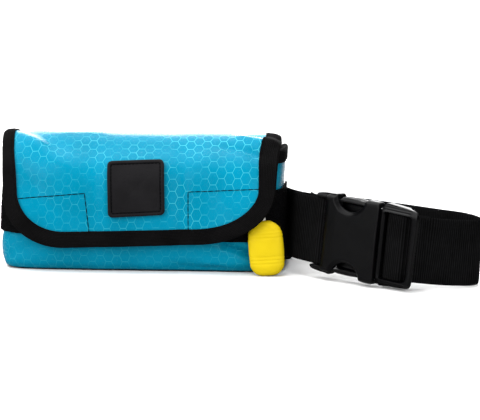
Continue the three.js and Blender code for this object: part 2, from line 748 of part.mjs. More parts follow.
// The buckle's own axes: along the strap, up across it, and out of its front
function buckleAxes() {
  const heading = THREE.MathUtils.degToRad(BUCKLE.headingDeg);
  const lean = THREE.MathUtils.degToRad(BUCKLE.leanDeg);
  const pitch = THREE.MathUtils.degToRad(BUCKLE.pitchDeg);
  const level = new THREE.Vector3(Math.sin(heading), -Math.cos(heading), 0);
  const ahead = new THREE.Vector3(Math.cos(heading), Math.sin(heading), 0);
  const leant = new THREE.Vector3(0, 0, Math.cos(lean)).addScaledVector(level, -Math.sin(lean));
  const along = ahead.clone().multiplyScalar(Math.cos(pitch)).addScaledVector(leant, -Math.sin(pitch));
  const up = leant.clone().multiplyScalar(Math.cos(pitch)).addScaledVector(ahead, Math.sin(pitch));
  const out = along.clone().cross(up);
  return { along, up, out, origin: new THREE.Vector3(BUCKLE.x, BUCKLE.y, BUCKLE.z) };
}

const BUCKLE_AXES = buckleAxes();

function onBuckle({ along, height }) {
  const axes = BUCKLE_AXES;
  return axes.origin.clone().addScaledVector(axes.along, along).addScaledVector(axes.out, height);
}

// The belt's control points from the socket's sewn return to the plug's tail, each with its width direction
function beltControls() {
  const upright = new THREE.Vector3(0, 0, 1);
  const controls = [];
  const add = (point, up) => controls.push({ point, up });
  const addOnBuckle = (row) => add(onBuckle(row), BUCKLE_AXES.up);
  SOCKET_RETURN.forEach(addOnBuckle);
  for (let k = 0; k <= SOCKET_WRAP.steps; k += 1) {
    const angle = -Math.PI / 2 + (k / SOCKET_WRAP.steps) * Math.PI;
    addOnBuckle({
      along: SOCKET_BAR.x + SOCKET_WRAP.radius * Math.cos(angle),
      height: SOCKET_WRAP.radius * Math.sin(angle),
    });
  }
  SOCKET_FRONT.forEach(addOnBuckle);
  const sleeveRun = BACK_LINE.slice().reverse();
  sleeveRun.forEach((spot) => add(onBackLine(spot, BELT_IN_SLEEVE.offset, BELT_IN_SLEEVE.z), upright));
  BELT_LOOP.slice().reverse().forEach(({ x, y, z, topX, topY }) => {
    add(new THREE.Vector3(x, y, z), new THREE.Vector3(topX, topY, 1).normalize());
  });
  PLUG_TAIL.slice().reverse().forEach(addOnBuckle);
  return controls;
}

// One flat strap swept along its control points
function belt() {
  const controls = beltControls();
  const curve = new THREE.CatmullRomCurve3(controls.map(({ point }) => point), false, 'centripetal');
  const spans = controls.length - 1;
  const stations = [];
  for (let k = 0; k < spans; k += 1) {
    const steps = Math.max(1, Math.ceil(controls[k].point.distanceTo(controls[k + 1].point) / BELT_STEP));
    for (let j = 0; j < steps; j += 1) stations.push({ k, share: j / steps });
  }
  stations.push({ k: spans - 1, share: 1 });
  const rings = stations.map(({ k, share }) => {
    const t = (k + share) / spans;
    const middle = curve.getPoint(t);
    const run = curve.getTangent(t);
    const up = controls[k].up.clone().lerp(controls[k + 1].up, share);
    up.addScaledVector(run, -up.dot(run)).normalize().multiplyScalar(WEBBING_WIDTH / 2);
    const out = run.clone().cross(up).normalize().multiplyScalar(WEBBING_THICK / 2);
    return [[1, 1], [1, -1], [-1, -1], [-1, 1]].map(([a, b]) => {
      return middle.clone().addScaledVector(up, a).addScaledVector(out, b);
    });
  });
  return loft(rings);
}

// The buckle's socket: a hollow shell with a scoop in each side and a bar for the belt
function buckleSocket() {
  const { length, halfWidth, thick, bevel } = SOCKET;
  let solid = plate(roundedOutline(SOCKET_OUTLINE), thick, bevel);
  const scoop = new THREE.Shape();
  const { x: scoopX, halfLength: scoopHalf, depth, rise, curveSteps } = SOCKET_SCOOP;
  scoop.absellipse(scoopX, halfWidth + rise, scoopHalf, depth + rise, 0, 2 * Math.PI);
  const cut = plate(scoop, thick + 2, 0, curveSteps);
  solid = solid.subtract(cut).subtract(cut.rotate([180, 0, 0]));
  for (const corners of [SOCKET_LUG, mirrored(SOCKET_LUG)]) {
    solid = solid.add(plate(roundedOutline(corners), SOCKET_LUG_THICK, SOCKET_LUG_BEVEL));
  }
  const cavity = SOCKET_CAVITY;
  solid = solid.subtract(block(
    new THREE.Vector3(cavity.start, -cavity.halfWidth, -cavity.halfThick),
    new THREE.Vector3(length + 1, cavity.halfWidth, cavity.halfThick),
  ));
  const { radius, halfLength, sides } = SOCKET_BAR;
  const bar = new THREE.CylinderGeometry(radius, radius, 2 * halfLength, sides);
  bar.translate(SOCKET_BAR.x, 0, 0);
  return toGeometry(solid.add(toManifold(bar)));
}

// The buckle's plug: a frame with a bar for the belt, two springy arms and a guide between them
function bucklePlug() {
  const { start, thick, bevel } = PLUG;
  let solid = plate(roundedOutline(PLUG_OUTLINE), thick, bevel);
  const win = PLUG_WINDOW;
  solid = solid.subtract(block(
    new THREE.Vector3(win.start, -win.halfWidth, -thick),
    new THREE.Vector3(win.end, win.halfWidth, thick),
  ));
  const slope = new THREE.Shape(PLUG_BACK_CUT.map(({ x, y }) => new THREE.Vector2(x, y)));
  solid = solid.subtract(plate(slope, 2 * SOCKET.halfWidth + 2, 0).rotate([90, 0, 0]));
  solid = solid.add(block(
    new THREE.Vector3(PLUG_BAR.start, -win.halfWidth - 1, PLUG_BAR.back),
    new THREE.Vector3(PLUG_BAR.end, win.halfWidth + 1, PLUG_BAR.front),
  ));
  solid = solid.add(block(
    new THREE.Vector3(PLUG_GUIDE.tip, -PLUG_GUIDE.halfWidth, -PLUG_GUIDE.halfThick),
    new THREE.Vector3(start + 1, PLUG_GUIDE.halfWidth, PLUG_GUIDE.halfThick),
  ));
  for (const side of [1, -1]) {
    const arm = new THREE.Shape(PLUG_ARM.map(({ x, y }) => new THREE.Vector2(x, side * y)));
    solid = solid.add(plate(arm, 2 * PLUG_ARM_HALF_THICK, PLUG_ARM_BEVEL));
  }
  return toGeometry(solid);
}

// The pull toggle: a soft pillow-shaped grip, rounder at its top
function pullToggle() {
  const up = new THREE.Vector3(TOGGLE.topX, TOGGLE.topY, 1).normalize();
  const across = new THREE.Vector3(1, 0, 0).addScaledVector(up, -up.x).normalize();
  const deep = up.clone().cross(across);
  const foot = new THREE.Vector3(TOGGLE.x, TOGGLE.y, TOGGLE.z);
  const rings = TOGGLE_SECTIONS.map(({ up: height, halfWidth, halfThick }) => {
    const middle = foot.clone().addScaledVector(up, height);
    return [...Array(TOGGLE.points).keys()].map((k) => {
      const angle = ((k + 0.5) / TOGGLE.points) * 2 * Math.PI;
      const p = middle.clone().addScaledVector(across, halfWidth * squared(Math.cos(angle), TOGGLE.square));
      return p.addScaledVector(deep, halfThick * squared(Math.sin(angle), TOGGLE.square));
    });
  });
  rings[0].forEach((p) => p.setZ(TOGGLE.z));
  return loft(rings);
}

// The pull cord, a round tube along its route
function pullCord() {
  const points = CORD_ROUTE.map(({ x, y, z }) => new THREE.Vector3(x, y, z));
  const section = new THREE.Shape();
  for (let k = 0; k < CORD_SIDES; k += 1) {
    const angle = (k / CORD_SIDES) * 2 * Math.PI;
    const at = [(CORD_DIAMETER / 2) * Math.cos(angle), (CORD_DIAMETER / 2) * Math.sin(angle)];
    if (k === 0) section.moveTo(...at);
    else section.lineTo(...at);
  }
  return new THREE.ExtrudeGeometry(section, {
    steps: CORD_STEPS,
    bevelEnabled: false,
    extrudePath: new THREE.CatmullRomCurve3(points, false, 'centripetal'),
  });
}

const FINISHES = {
  ripstop: { color: 0x1ab0d2, roughness: 0.45, metalness: 0 },
  tape: { color: 0x191718, roughness: 0.85, metalness: 0 },
  fastener: { color: 0x121213, roughness: 0.98, metalness: 0 },
  sleeveCloth: { color: 0x161617, roughness: 0.9, metalness: 0 },
  webbing: { color: 0x111112, roughness: 0.8, metalness: 0 },
  buckle: { color: 0x1e1e1f, roughness: 0.42, metalness: 0 },
  badge: { color: 0x28262a, roughness: 0.6, metalness: 0 },
  toggle: { color: 0xf6dc2c, roughness: 0.5, metalness: 0 },
  cord: { color: 0xf2f2ee, roughness: 0.8, metalness: 0 },
};

function piece(name, geometry, finish) {
  const mesh = new THREE.Mesh(geometry, new THREE.MeshStandardMaterial(FINISHES[finish]));
  mesh.name = name;
  return mesh;
}

const buckle = new THREE.Group();
buckle.position.copy(BUCKLE_AXES.origin);
const buckleTurn = new THREE.Matrix4().makeBasis(BUCKLE_AXES.along, BUCKLE_AXES.up, BUCKLE_AXES.out);
buckle.quaternion.setFromRotationMatrix(buckleTurn);
buckle.add(piece('buckle_socket', buckleSocket(), 'buckle'));
buckle.add(piece('buckle_plug', bucklePlug(), 'buckle'));

const group = new THREE.Group();
group.add(piece('pouch_body', pouchBody(), 'ripstop'));
group.add(piece('mouth_binding', mouthBinding(), 'tape'));
group.add(piece('loop_strip', loopStrip(), 'fastener'));
group.add(piece('flap', flap(), 'ripstop'));
group.add(piece('flap_binding', flapBinding(), 'tape'));
group.add(piece('badge', badge(), 'badge'));
group.add(piece('belt_sleeve', beltSleeve(), 'sleeveCloth'));
group.add(piece('belt', belt(), 'webbing'));
group.add(buckle);
group.add(piece('pull_toggle', pullToggle(), 'toggle'));
group.add(piece('pull_cord', pullCord(), 'cord'));
group.updateMatrixWorld(true);

export default group;
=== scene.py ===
"""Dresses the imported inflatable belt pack: ripstop, tapes, webbing, moulded parts, thread and studio."""

import logging
import math
from dataclasses import dataclass
from enum import Enum
from typing import Callable, Sequence

import bmesh
import bpy
import numpy as np
from mathutils import Matrix, Vector


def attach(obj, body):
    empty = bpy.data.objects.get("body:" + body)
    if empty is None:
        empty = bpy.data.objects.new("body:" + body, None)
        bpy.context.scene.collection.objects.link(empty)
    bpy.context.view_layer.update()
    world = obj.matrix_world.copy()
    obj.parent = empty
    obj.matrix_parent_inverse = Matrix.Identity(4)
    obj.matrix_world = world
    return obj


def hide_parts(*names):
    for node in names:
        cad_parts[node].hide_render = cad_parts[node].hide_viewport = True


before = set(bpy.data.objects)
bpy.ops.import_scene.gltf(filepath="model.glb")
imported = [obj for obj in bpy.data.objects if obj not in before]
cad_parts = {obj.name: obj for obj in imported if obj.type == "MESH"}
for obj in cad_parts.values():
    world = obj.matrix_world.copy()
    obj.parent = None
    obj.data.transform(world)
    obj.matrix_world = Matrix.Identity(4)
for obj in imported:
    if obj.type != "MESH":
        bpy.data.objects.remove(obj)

MM = 0.001
IMAGE_WIDTH = 480
SEED = 11
TINY = 1e-4
# where a noise texture has most of its values
MARK_RANGE = (0.3, 0.7)

Array = np.ndarray
Placer = Callable[[Array, Array], Array]
Pair = tuple[float, float]
Triple = tuple[float, float, float]
Four = tuple[float, float, float, float]
Pairs = tuple[Pair, ...]
Triples = tuple[Triple, ...]
Colour = Triple
Piece = bpy.types.Object
Material = bpy.types.Material
Socket = bpy.types.NodeSocket
Outputs = bpy.types.NodeOutputs
Tree = bpy.types.NodeTree

log = logging.getLogger("belt_pack")


class Slot(Enum):
    """Material slot names, passed along but not used."""

    RIPSTOP = "ripstop"
    TAPE = "tape"
    FASTENER = "fastener"
    SLEEVE = "sleeve_cloth"
    WEBBING = "webbing"
    BUCKLE = "buckle_plastic"
    BADGE = "badge_rubber"
    TOGGLE = "toggle_rubber"
    CORD = "cord"


class Weave(Enum):
    """How a woven finish shows its threads."""

    RIBBED = "ribbed"
    TWILL = "twill"
    PLAIN = "plain"


def smooth_step(at: Array, start: float, end: float) -> Array:
    """Eases from 0 at start to 1 at end."""
    t = np.clip((at - start) / (end - start), 0.0, 1.0)
    return t * t * (3.0 - 2.0 * t)


def unit(vectors: Array) -> Array:
    """Scales each row to length 1."""
    return vectors / np.linalg.norm(vectors, axis=1, keepdims=True)


def distances_along(points: Array) -> Array:
    """Gives each point's distance along a line of points."""
    gaps = np.linalg.norm(np.diff(points, axis=0), axis=1)
    return np.concatenate([[0.0], np.cumsum(gaps)])


def linear(red: int, green: int, blue: int) -> Four:
    """Turns a screen colour into the renderer's linear one.

    Args:
        red: red, 0 to 255.
        green: green, 0 to 255.
        blue: blue, 0 to 255.

    Returns:
        The linear colour with full alpha.
    """
    shares = [c / 255.0 for c in (red, green, blue)]
    return (*[s / 12.92 if s <= 0.04045 else ((s + 0.055) / 1.055) ** 2.4 for s in shares], 1.0)


class TableCurve:
    """A cubic curve through a table's rows, read by the first column."""

    def __init__(self, rows: Sequence[Sequence[float]]) -> None:
        """Keeps the rows and each one's slope.

        Args:
            rows: the table's rows.
        """
        table = np.array(rows, float)
        self.keys, self.values = table[:, 0], table[:, 1:]
        order = np.arange(len(table))
        before, after = np.maximum(order - 1, 0), np.minimum(order + 1, len(table) - 1)
        rise = self.values[after] - self.values[before]
        self.slopes = rise / (self.keys[after] - self.keys[before])[:, None]

    def at(self, where: Array) -> Array:
        """Reads the curve.

        Args:
            where: places on the first column's scale.

        Returns:
            One row for each place, one value for each other column.
        """
        where = np.atleast_1d(np.asarray(where, float))
        i = np.clip(np.searchsorted(self.keys, where) - 1, 0, len(self.keys) - 2)
        span = self.keys[i + 1] - self.keys[i]
        t = np.clip((where - self.keys[i]) / span, 0.0, 1.0)[:, None]
        start, end = self.values[i], self.values[i + 1]
        out, into = self.slopes[i] * span[:, None], self.slopes[i + 1] * span[:, None]
        t2, t3 = t * t, t * t * t
        level = (2 * t3 - 3 * t2 + 1) * start + (t3 - 2 * t2 + t) * out
        return level + (3 * t2 - 2 * t3) * end + (t3 - t2) * into


class SmoothPath:
    """A smooth line through points, read by the distance along it."""

    def __init__(self, points: Sequence[Sequence[float]], steps: int = 40) -> None:
        """Samples a centripetal curve through the points.

        Args:
            points: the points that the line goes through.
            steps: samples between two points.
        """
        p = np.array(points, float)
        padded = np.vstack([2 * p[0] - p[1], p, 2 * p[-1] - p[-2]])
        share = np.linspace(0.0, 1.0, steps, endpoint=False)[:, None]
        spans = []
        for k in range(len(p) - 1):
            a, b, c, d = padded[k : k + 4]
            before, here, after = (max(np.linalg.norm(q) ** 0.5, TINY) for q in (b - a, c - b, d - c))
            start = ((b - a) / before - (c - a) / (before + here) + (c - b) / here) * here
            end = ((c - b) / here - (d - b) / (here + after) + (d - c) / after) * here
            curve = b + start * share + (-3 * b + 3 * c - 2 * start - end) * share**2
            spans.append(curve + (2 * b - 2 * c + start + end) * share**3)
        self.points = np.vstack([*spans, p[-1:]])
        self.controls = np.arange(len(self.points)) / steps
        self.distances = distances_along(self.points)
        self.length = float(self.distances[-1])

    def read(self, distance: Array, table: Array) -> Array:
        """Reads a table with one row for each sampled point at distances along the line."""
        return np.stack([np.interp(distance, self.distances, column) for column in table.T], axis=1)

    def at(self, distance: Array) -> Array:
        """Gives the points at distances along the line."""
        return self.read(distance, self.points)

    def tangent(self, distance: Array) -> Array:
        """Gives the directions at distances along the line."""
        return unit(self.read(distance, np.gradient(self.points, self.distances, axis=0)))

    def spread(self, rows: Array) -> Array:
        """Gives a row for each sampled point from one for each given point."""
        places = np.arange(len(rows))
        return np.stack([np.interp(self.controls, places, column) for column in rows.T], axis=1)


@dataclass(frozen=True)
class Fold:
    """A soft ridge or dent along a straight line on a flat piece of cloth."""

    start: Pair
    end: Pair
    width: float
    height: float

    def lift(self, x: Array, y: Array) -> Array:
        """Gives how far the fold lifts each point of the cloth.

        Args:
            x: places in the cloth's first direction.
            y: places in its second direction.

        Returns:
            Each point's lift, in millimetres.
        """
        run = np.subtract(self.end, self.start)
        length = float(np.hypot(*run))
        along = ((x - self.start[0]) * run[0] + (y - self.start[1]) * run[1]) / length
        aside = ((x - self.start[0]) * run[1] - (y - self.start[1]) * run[0]) / length
        past = np.maximum(np.maximum(-along, along - length), 0.0)
        return self.height * np.exp(-(aside**2) / self.width**2 - past**2 / (2.0 * self.width) ** 2)


def lift_of(folds: Sequence[Fold], x: Array, y: Array) -> Array:
    """Adds up what several folds lift."""
    return sum((fold.lift(x, y) for fold in folds), np.zeros_like(x))


# on the flap by x and the distance from the back seam, on the pouch by the distance round it and the height
FLAP_FOLDS = (
    Fold((-58, 47), (44, 47), 12.0, 1.0),
    Fold((-38, 66), (34, 66), 10.0, -2.2),
    Fold((-64, 57), (-54, 61), 7.0, -1.0),
    Fold((80, 15), (79.5, 62), 3.0, -2.0),
    Fold((-82, 15), (-81.5, 60), 1.8, -1.8),
    Fold((-74, 53), (-62, 63), 4.2, 1.7),
    Fold((-62, 63), (-48, 75), 5.0, 1.0),
    Fold((-76, 70), (-64, 86), 6.5, -1.7),
    Fold((-66, 92), (-50, 106), 10.0, -0.7),
    Fold((58, 56), (76, 63), 2.6, 1.2),
    Fold((64, 49), (80, 54), 3.6, -1.5),
    Fold((52, 66), (68, 71), 4.0, -1.9),
    Fold((66, 72), (71, 90), 4.5, -1.0),
    Fold((24, 78), (25, 118), 5.0, -0.9),
    Fold((40, 76), (48, 98), 7.0, 0.7),
    Fold((-27, 74), (-27, 114), 5.0, -0.6),
    Fold((-14, 48), (16, 49), 5.0, -0.4),
    Fold((-44, 52), (-28, 51), 3.0, 0.5),
)
POUCH_FOLDS = (
    Fold((153, 16), (137, 10.5), 1.9, -3.0),
    Fold((148, 19.5), (136, 17), 2.6, 1.2),
    Fold((162, 6), (138, 6.5), 3.0, 0.9),
    Fold((178, 3.5), (158, 3), 2.4, -0.8),
    Fold((205, 14), (190, 8), 5.0, -0.5),
    Fold((262, 15), (280, 7), 4.0, -0.6),
    Fold((286, 16), (294, 4), 3.0, 0.6),
    Fold((240, 16), (228, 5), 6.0, 0.4),
)


def deselect() -> None:
    """Leaves nothing selected."""
    bpy.ops.object.select_all(action="DESELECT")


def choose(*pieces: Piece) -> None:
    """Selects some pieces alone and makes the first one active.

    Args:
        pieces: the objects.
    """
    deselect()
    for piece in pieces:
        piece.select_set(True)
    bpy.context.view_layer.objects.active = pieces[0]


def named(name: str) -> Piece:
    """Names the object that was added last, and its mesh, and gives it.

    Args:
        name: the new name.

    Returns:
        The object.
    """
    piece = bpy.context.object
    piece.name = piece.data.name = name
    return piece


def apply_modifier(piece: Piece, kind: str, **settings: object) -> None:
    """Adds one modifier to a piece and applies it.

    Args:
        piece: the object that gets it.
        kind: the modifier's type.
        settings: the modifier's own values.
    """
    choose(piece)
    made = piece.modifiers.new(kind.lower(), kind)
    for key, value in settings.items():
        setattr(made, key, value)
    bpy.ops.object.modifier_apply(modifier=made.name)


def set_points(piece: Piece, points: Array) -> None:
    """Moves a mesh's points to places given in millimetres."""
    piece.data.vertices.foreach_set("co", (points * MM).astype(np.float32).ravel())
    piece.data.update()


def get_points(piece: Piece) -> Array:
    """Gives a mesh's points in millimetres.

    Args:
        piece: the object.

    Returns:
        One row for each point.
    """
    flat = np.zeros(3 * len(piece.data.vertices), np.float32)
    piece.data.vertices.foreach_get("co", flat)
    return flat.reshape(-1, 3).astype(float) / MM


def set_flat(piece: Piece, flat: Array) -> None:
    """Writes each point's place on the flat cloth, in millimetres, to the piece's UV map.

    Args:
        piece: the object.
        flat: each point's place on the flat cloth.
    """
    layer = piece.data.uv_layers.active or piece.data.uv_layers.new(name="flat")
    corners = np.zeros(len(piece.data.loops), np.int32)
    piece.data.loops.foreach_get("vertex_index", corners)
    layer.data.foreach_set("uv", flat[corners].astype(np.float32).ravel())


def add_grid(name: str, columns: int, rows: int, place: Placer, flat: Placer) -> Piece:
    """Adds a grid and lays it along a surface.

    Args:
        name: the piece's name.
        columns: faces across.
        rows: faces along.
        place: gives points from shares across and along.
        flat: gives places on the flat cloth from the same shares.

    Returns:
        The new object, one face thick.
    """
    deselect()
    bpy.ops.mesh.primitive_grid_add(x_subdivisions=columns, y_subdivisions=rows, size=2.0)
    piece = named(name)
    shares = get_points(piece) * MM / 2.0 + 0.5
    across, along = shares[:, 0], shares[:, 1]
    set_points(piece, place(across, along))
    set_flat(piece, flat(across, along))
    return piece


def lay_cloth(
    name: str, counts: tuple[int, int], place: Placer, flat: Placer, thick: float
) -> Piece:
    """Lays a grid along a surface and thickens it by half to each side.

    Args:
        name: the piece's name.
        counts: faces across and along.
        place: gives points from shares across and along.
        flat: gives places on the flat cloth from the same shares.
        thick: the cloth's thickness, in millimetres.

    Returns:
        The new object.
    """
    piece = add_grid(name, *counts, place, flat)
    apply_modifier(piece, "SOLIDIFY", thickness=thick * MM, offset=0.0)
    smooth_faces(piece)
    return piece


def edit(piece: Piece) -> None:
    """Opens one piece in edit mode with nothing selected.

    Args:
        piece: the object.
    """
    choose(piece)
    bpy.ops.object.mode_set(mode="EDIT")
    bpy.ops.mesh.select_mode(type="VERT")
    bpy.ops.mesh.select_all(action="DESELECT")


def close_edit() -> None:
    """Leaves edit mode."""
    bpy.ops.object.mode_set(mode="OBJECT")


def merge_seam(piece: Piece, cap: bool, distance: float = 0.002) -> None:
    """Merges the two sides of a rolled-up grid and turns its faces outwards.

    Args:
        piece: the rolled-up grid.
        cap: closes the open ends with a face each.
        distance: how near two points merge, in millimetres.
    """
    edit(piece)
    bpy.ops.mesh.select_all(action="SELECT")
    bpy.ops.mesh.remove_doubles(threshold=distance * MM)
    if cap:
        bpy.ops.mesh.select_all(action="DESELECT")
        bpy.ops.mesh.select_non_manifold()
        bpy.ops.mesh.edge_face_add()
    bpy.ops.mesh.select_all(action="SELECT")
    bpy.ops.mesh.normals_make_consistent(inside=False)
    close_edit()


def smooth_faces(piece: Piece, angle: float = 40.0) -> None:
    """Shades a piece smooth but for edges sharper than an angle in degrees."""
    choose(piece)
    bpy.ops.object.shade_smooth_by_angle(angle=math.radians(angle))


def rounded(corners: Sequence[Triple], steps: int = 6) -> Array:
    """Gives an outline with its corners rounded off.

    Args:
        corners: each corner's place and how far along its sides it is rounded.
        steps: points on each round corner.

    Returns:
        The outline's points.
    """
    places = np.array(corners, float)
    share = np.linspace(0.0, 1.0, steps)[:, None]
    points = []
    for k, (x, y, off) in enumerate(places):
        here = np.array([x, y])
        if off == 0.0:
            points.append(here[None])
            continue
        around = places[[k - 1, (k + 1) % len(places)], :2]
        ends = here + unit(around - here) * off
        points.append(ends[0] * (1 - share) ** 2 + here * 2 * share * (1 - share) + ends[1] * share**2)
    return np.vstack(points)


def mirrored(outline: Array) -> Array:
    """Gives an outline on the other side of its middle line."""
    return (outline * (1.0, -1.0))[::-1]


def add_plate(name: str, outline: Array, low: float, high: float) -> Piece:
    """Adds an outline and extrudes it between two heights.

    Args:
        name: the piece's name.
        outline: its points, in millimetres.
        low: the height of its underside.
        high: the height of its top.

    Returns:
        The closed solid.
    """
    deselect()
    bpy.ops.mesh.primitive_circle_add(vertices=len(outline), radius=1.0, fill_type="NGON")
    piece = named(name)
    set_points(piece, np.column_stack([outline, np.full(len(outline), low)]))
    edit(piece)
    bpy.ops.mesh.select_all(action="SELECT")
    bpy.ops.mesh.extrude_region_move(TRANSFORM_OT_translate={"value": (0.0, 0.0, (high - low) * MM)})
    bpy.ops.mesh.select_all(action="SELECT")
    bpy.ops.mesh.normals_make_consistent(inside=False)
    close_edit()
    return piece


def cut(piece: Piece, tool: Piece) -> None:
    """Cuts one solid out of another and removes the tool."""
    apply_modifier(piece, "BOOLEAN", operation="DIFFERENCE", solver="EXACT", object=tool)
    bpy.data.objects.remove(tool, do_unlink=True)


def join(pieces: Sequence[Piece]) -> Piece:
    """Joins several solids into the first one.

    Args:
        pieces: the objects.

    Returns:
        The object.
    """
    choose(*pieces)
    bpy.ops.object.join()
    return pieces[0]


def box_outline(left: float, right: float, half: float) -> Array:
    """Gives a rectangle's corners from its ends and half its height."""
    return np.array([(left, -half), (right, -half), (right, half), (left, half)])


def finish_piece(
    piece: Piece, material: Material, stands_for: Sequence[str] = ()
) -> None:
    """Gives a piece its finish, its body and the CAD nodes that it stands for.

    Args:
        piece: the new object.
        material: its finish.
        stands_for: CAD nodes that it hides.
    """
    piece.data.materials.clear()
    piece.data.materials.append(material)
    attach(piece, "root")
    if stands_for:
        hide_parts(*stands_for)
    count = len(piece.data.polygons) if piece.type == "MESH" else len(piece.data.splines)
    log.info("%s: %d faces or splines", piece.name, count)


class NodeBoard:
    """A node tree under construction."""

    def __init__(self, tree: Tree) -> None:
        """Keeps the tree."""
        self.tree = tree

    def node(self, kind: str, **settings: object) -> bpy.types.Node:
        """Adds a node with some of its settings.

        Args:
            kind: the node's type.
            settings: the node's own values.

        Returns:
            The node.
        """
        made = self.tree.nodes.new(kind)
        for key, value in settings.items():
            setattr(made, key, value)
        return made

    def feed(self, socket: Socket, value: object) -> None:
        """Links a socket, or sets its own value.

        Args:
            socket: the input.
            value: another node's output, or a value.
        """
        if isinstance(value, Socket):
            self.tree.links.new(value, socket)
        else:
            socket.default_value = value

    def value(
        self, kind: str, output: int | str, inputs: dict[int | str, object], **settings: object
    ) -> Socket:
        """Adds a node, feeds it and gives one of its outputs.

        Args:
            kind: the node's type.
            output: the output's name or place.
            inputs: what is fed, by the inputs' names or places.
            settings: the node's own values.

        Returns:
            The output.
        """
        made = self.node(kind, **settings)
        for key, fed in inputs.items():
            self.feed(made.inputs[key], fed)
        return made.outputs[output]

    def math(self, operation: str, first: object, second: object = 0.0) -> Socket:
        """Works out a value from one or two others."""
        return self.value("ShaderNodeMath", 0, {0: first, 1: second}, operation=operation)

    def plus(self, first: object, second: object) -> Socket:
        """Adds two values."""
        return self.math("ADD", first, second)

    def minus(self, first: object, second: object) -> Socket:
        """Takes the second value from the first."""
        return self.math("SUBTRACT", first, second)

    def times(self, first: object, second: object) -> Socket:
        """Multiplies two values."""
        return self.math("MULTIPLY", first, second)

    def over(self, first: object, second: object) -> Socket:
        """Divides the first value by the second."""
        return self.math("DIVIDE", first, second)

    def parts(self, vector: Socket) -> Outputs:
        """Splits a vector into X, Y and Z.

        Args:
            vector: the vector.

        Returns:
            The three values, by name.
        """
        made = self.node("ShaderNodeSeparateXYZ")
        self.feed(made.inputs[0], vector)
        return made.outputs

    def ramp(
        self, value: object, low: object, high: object, bottom: float = 0.0, top: float = 1.0
    ) -> Socket:
        """Eases a value from one range to another."""
        ends = {"Value": value, "From Min": low, "From Max": high, "To Min": bottom, "To Max": top}
        return self.value("ShaderNodeMapRange", "Result", ends, interpolation_type="SMOOTHSTEP")

    def mix(self, share: object, first: object, second: object) -> Socket:
        """Mixes two colours."""
        return self.value("ShaderNodeMix", 2, {0: share, 6: first, 7: second}, data_type="RGBA")

    def noise(self, vector: object, scale: object, detail: float = 3.0) -> Socket:
        """Reads a noise texture."""
        return self.value("ShaderNodeTexNoise", "Fac", {"Vector": vector, "Scale": scale, "Detail": detail})

    def group(self, tree: Tree, **values: object) -> bpy.types.Node:
        """Places a node group with its own values.

        Args:
            tree: the group.
            values: its inputs, with an underscore for a space.

        Returns:
            The group's node.
        """
        made = self.node("ShaderNodeGroup")
        made.node_tree = tree
        for key, value in values.items():
            self.feed(made.inputs[key.replace("_", " ")], value)
        return made

    def bump(self, height: object, distance: float, strength: float = 1.0) -> Socket:
        """Turns a height into a normal."""
        inputs = {"Strength": strength, "Distance": distance, "Height": height}
        return self.value("ShaderNodeBump", "Normal", inputs)


def new_group(
    name: str, vector: str, numbers: dict[str, float], outputs: Sequence[str]
) -> tuple[NodeBoard, bpy.types.Node, bpy.types.Node]:
    """Starts a shader node group.

    Args:
        name: the group's name.
        vector: the name of its vector input.
        numbers: its other inputs, each with its first value.
        outputs: the names of the values that it puts out.

    Returns:
        The board, its input node and its output node.
    """
    tree = bpy.data.node_groups.new(name, "ShaderNodeTree")
    tree.interface.new_socket(vector, in_out="INPUT", socket_type="NodeSocketVector")
    for label, value in numbers.items():
        socket = tree.interface.new_socket(label, in_out="INPUT", socket_type="NodeSocketFloat")
        socket.default_value = value
    for label in outputs:
        tree.interface.new_socket(label, in_out="OUTPUT", socket_type="NodeSocketFloat")
    board = NodeBoard(tree)
    return board, board.node("NodeGroupInput"), board.node("NodeGroupOutput")


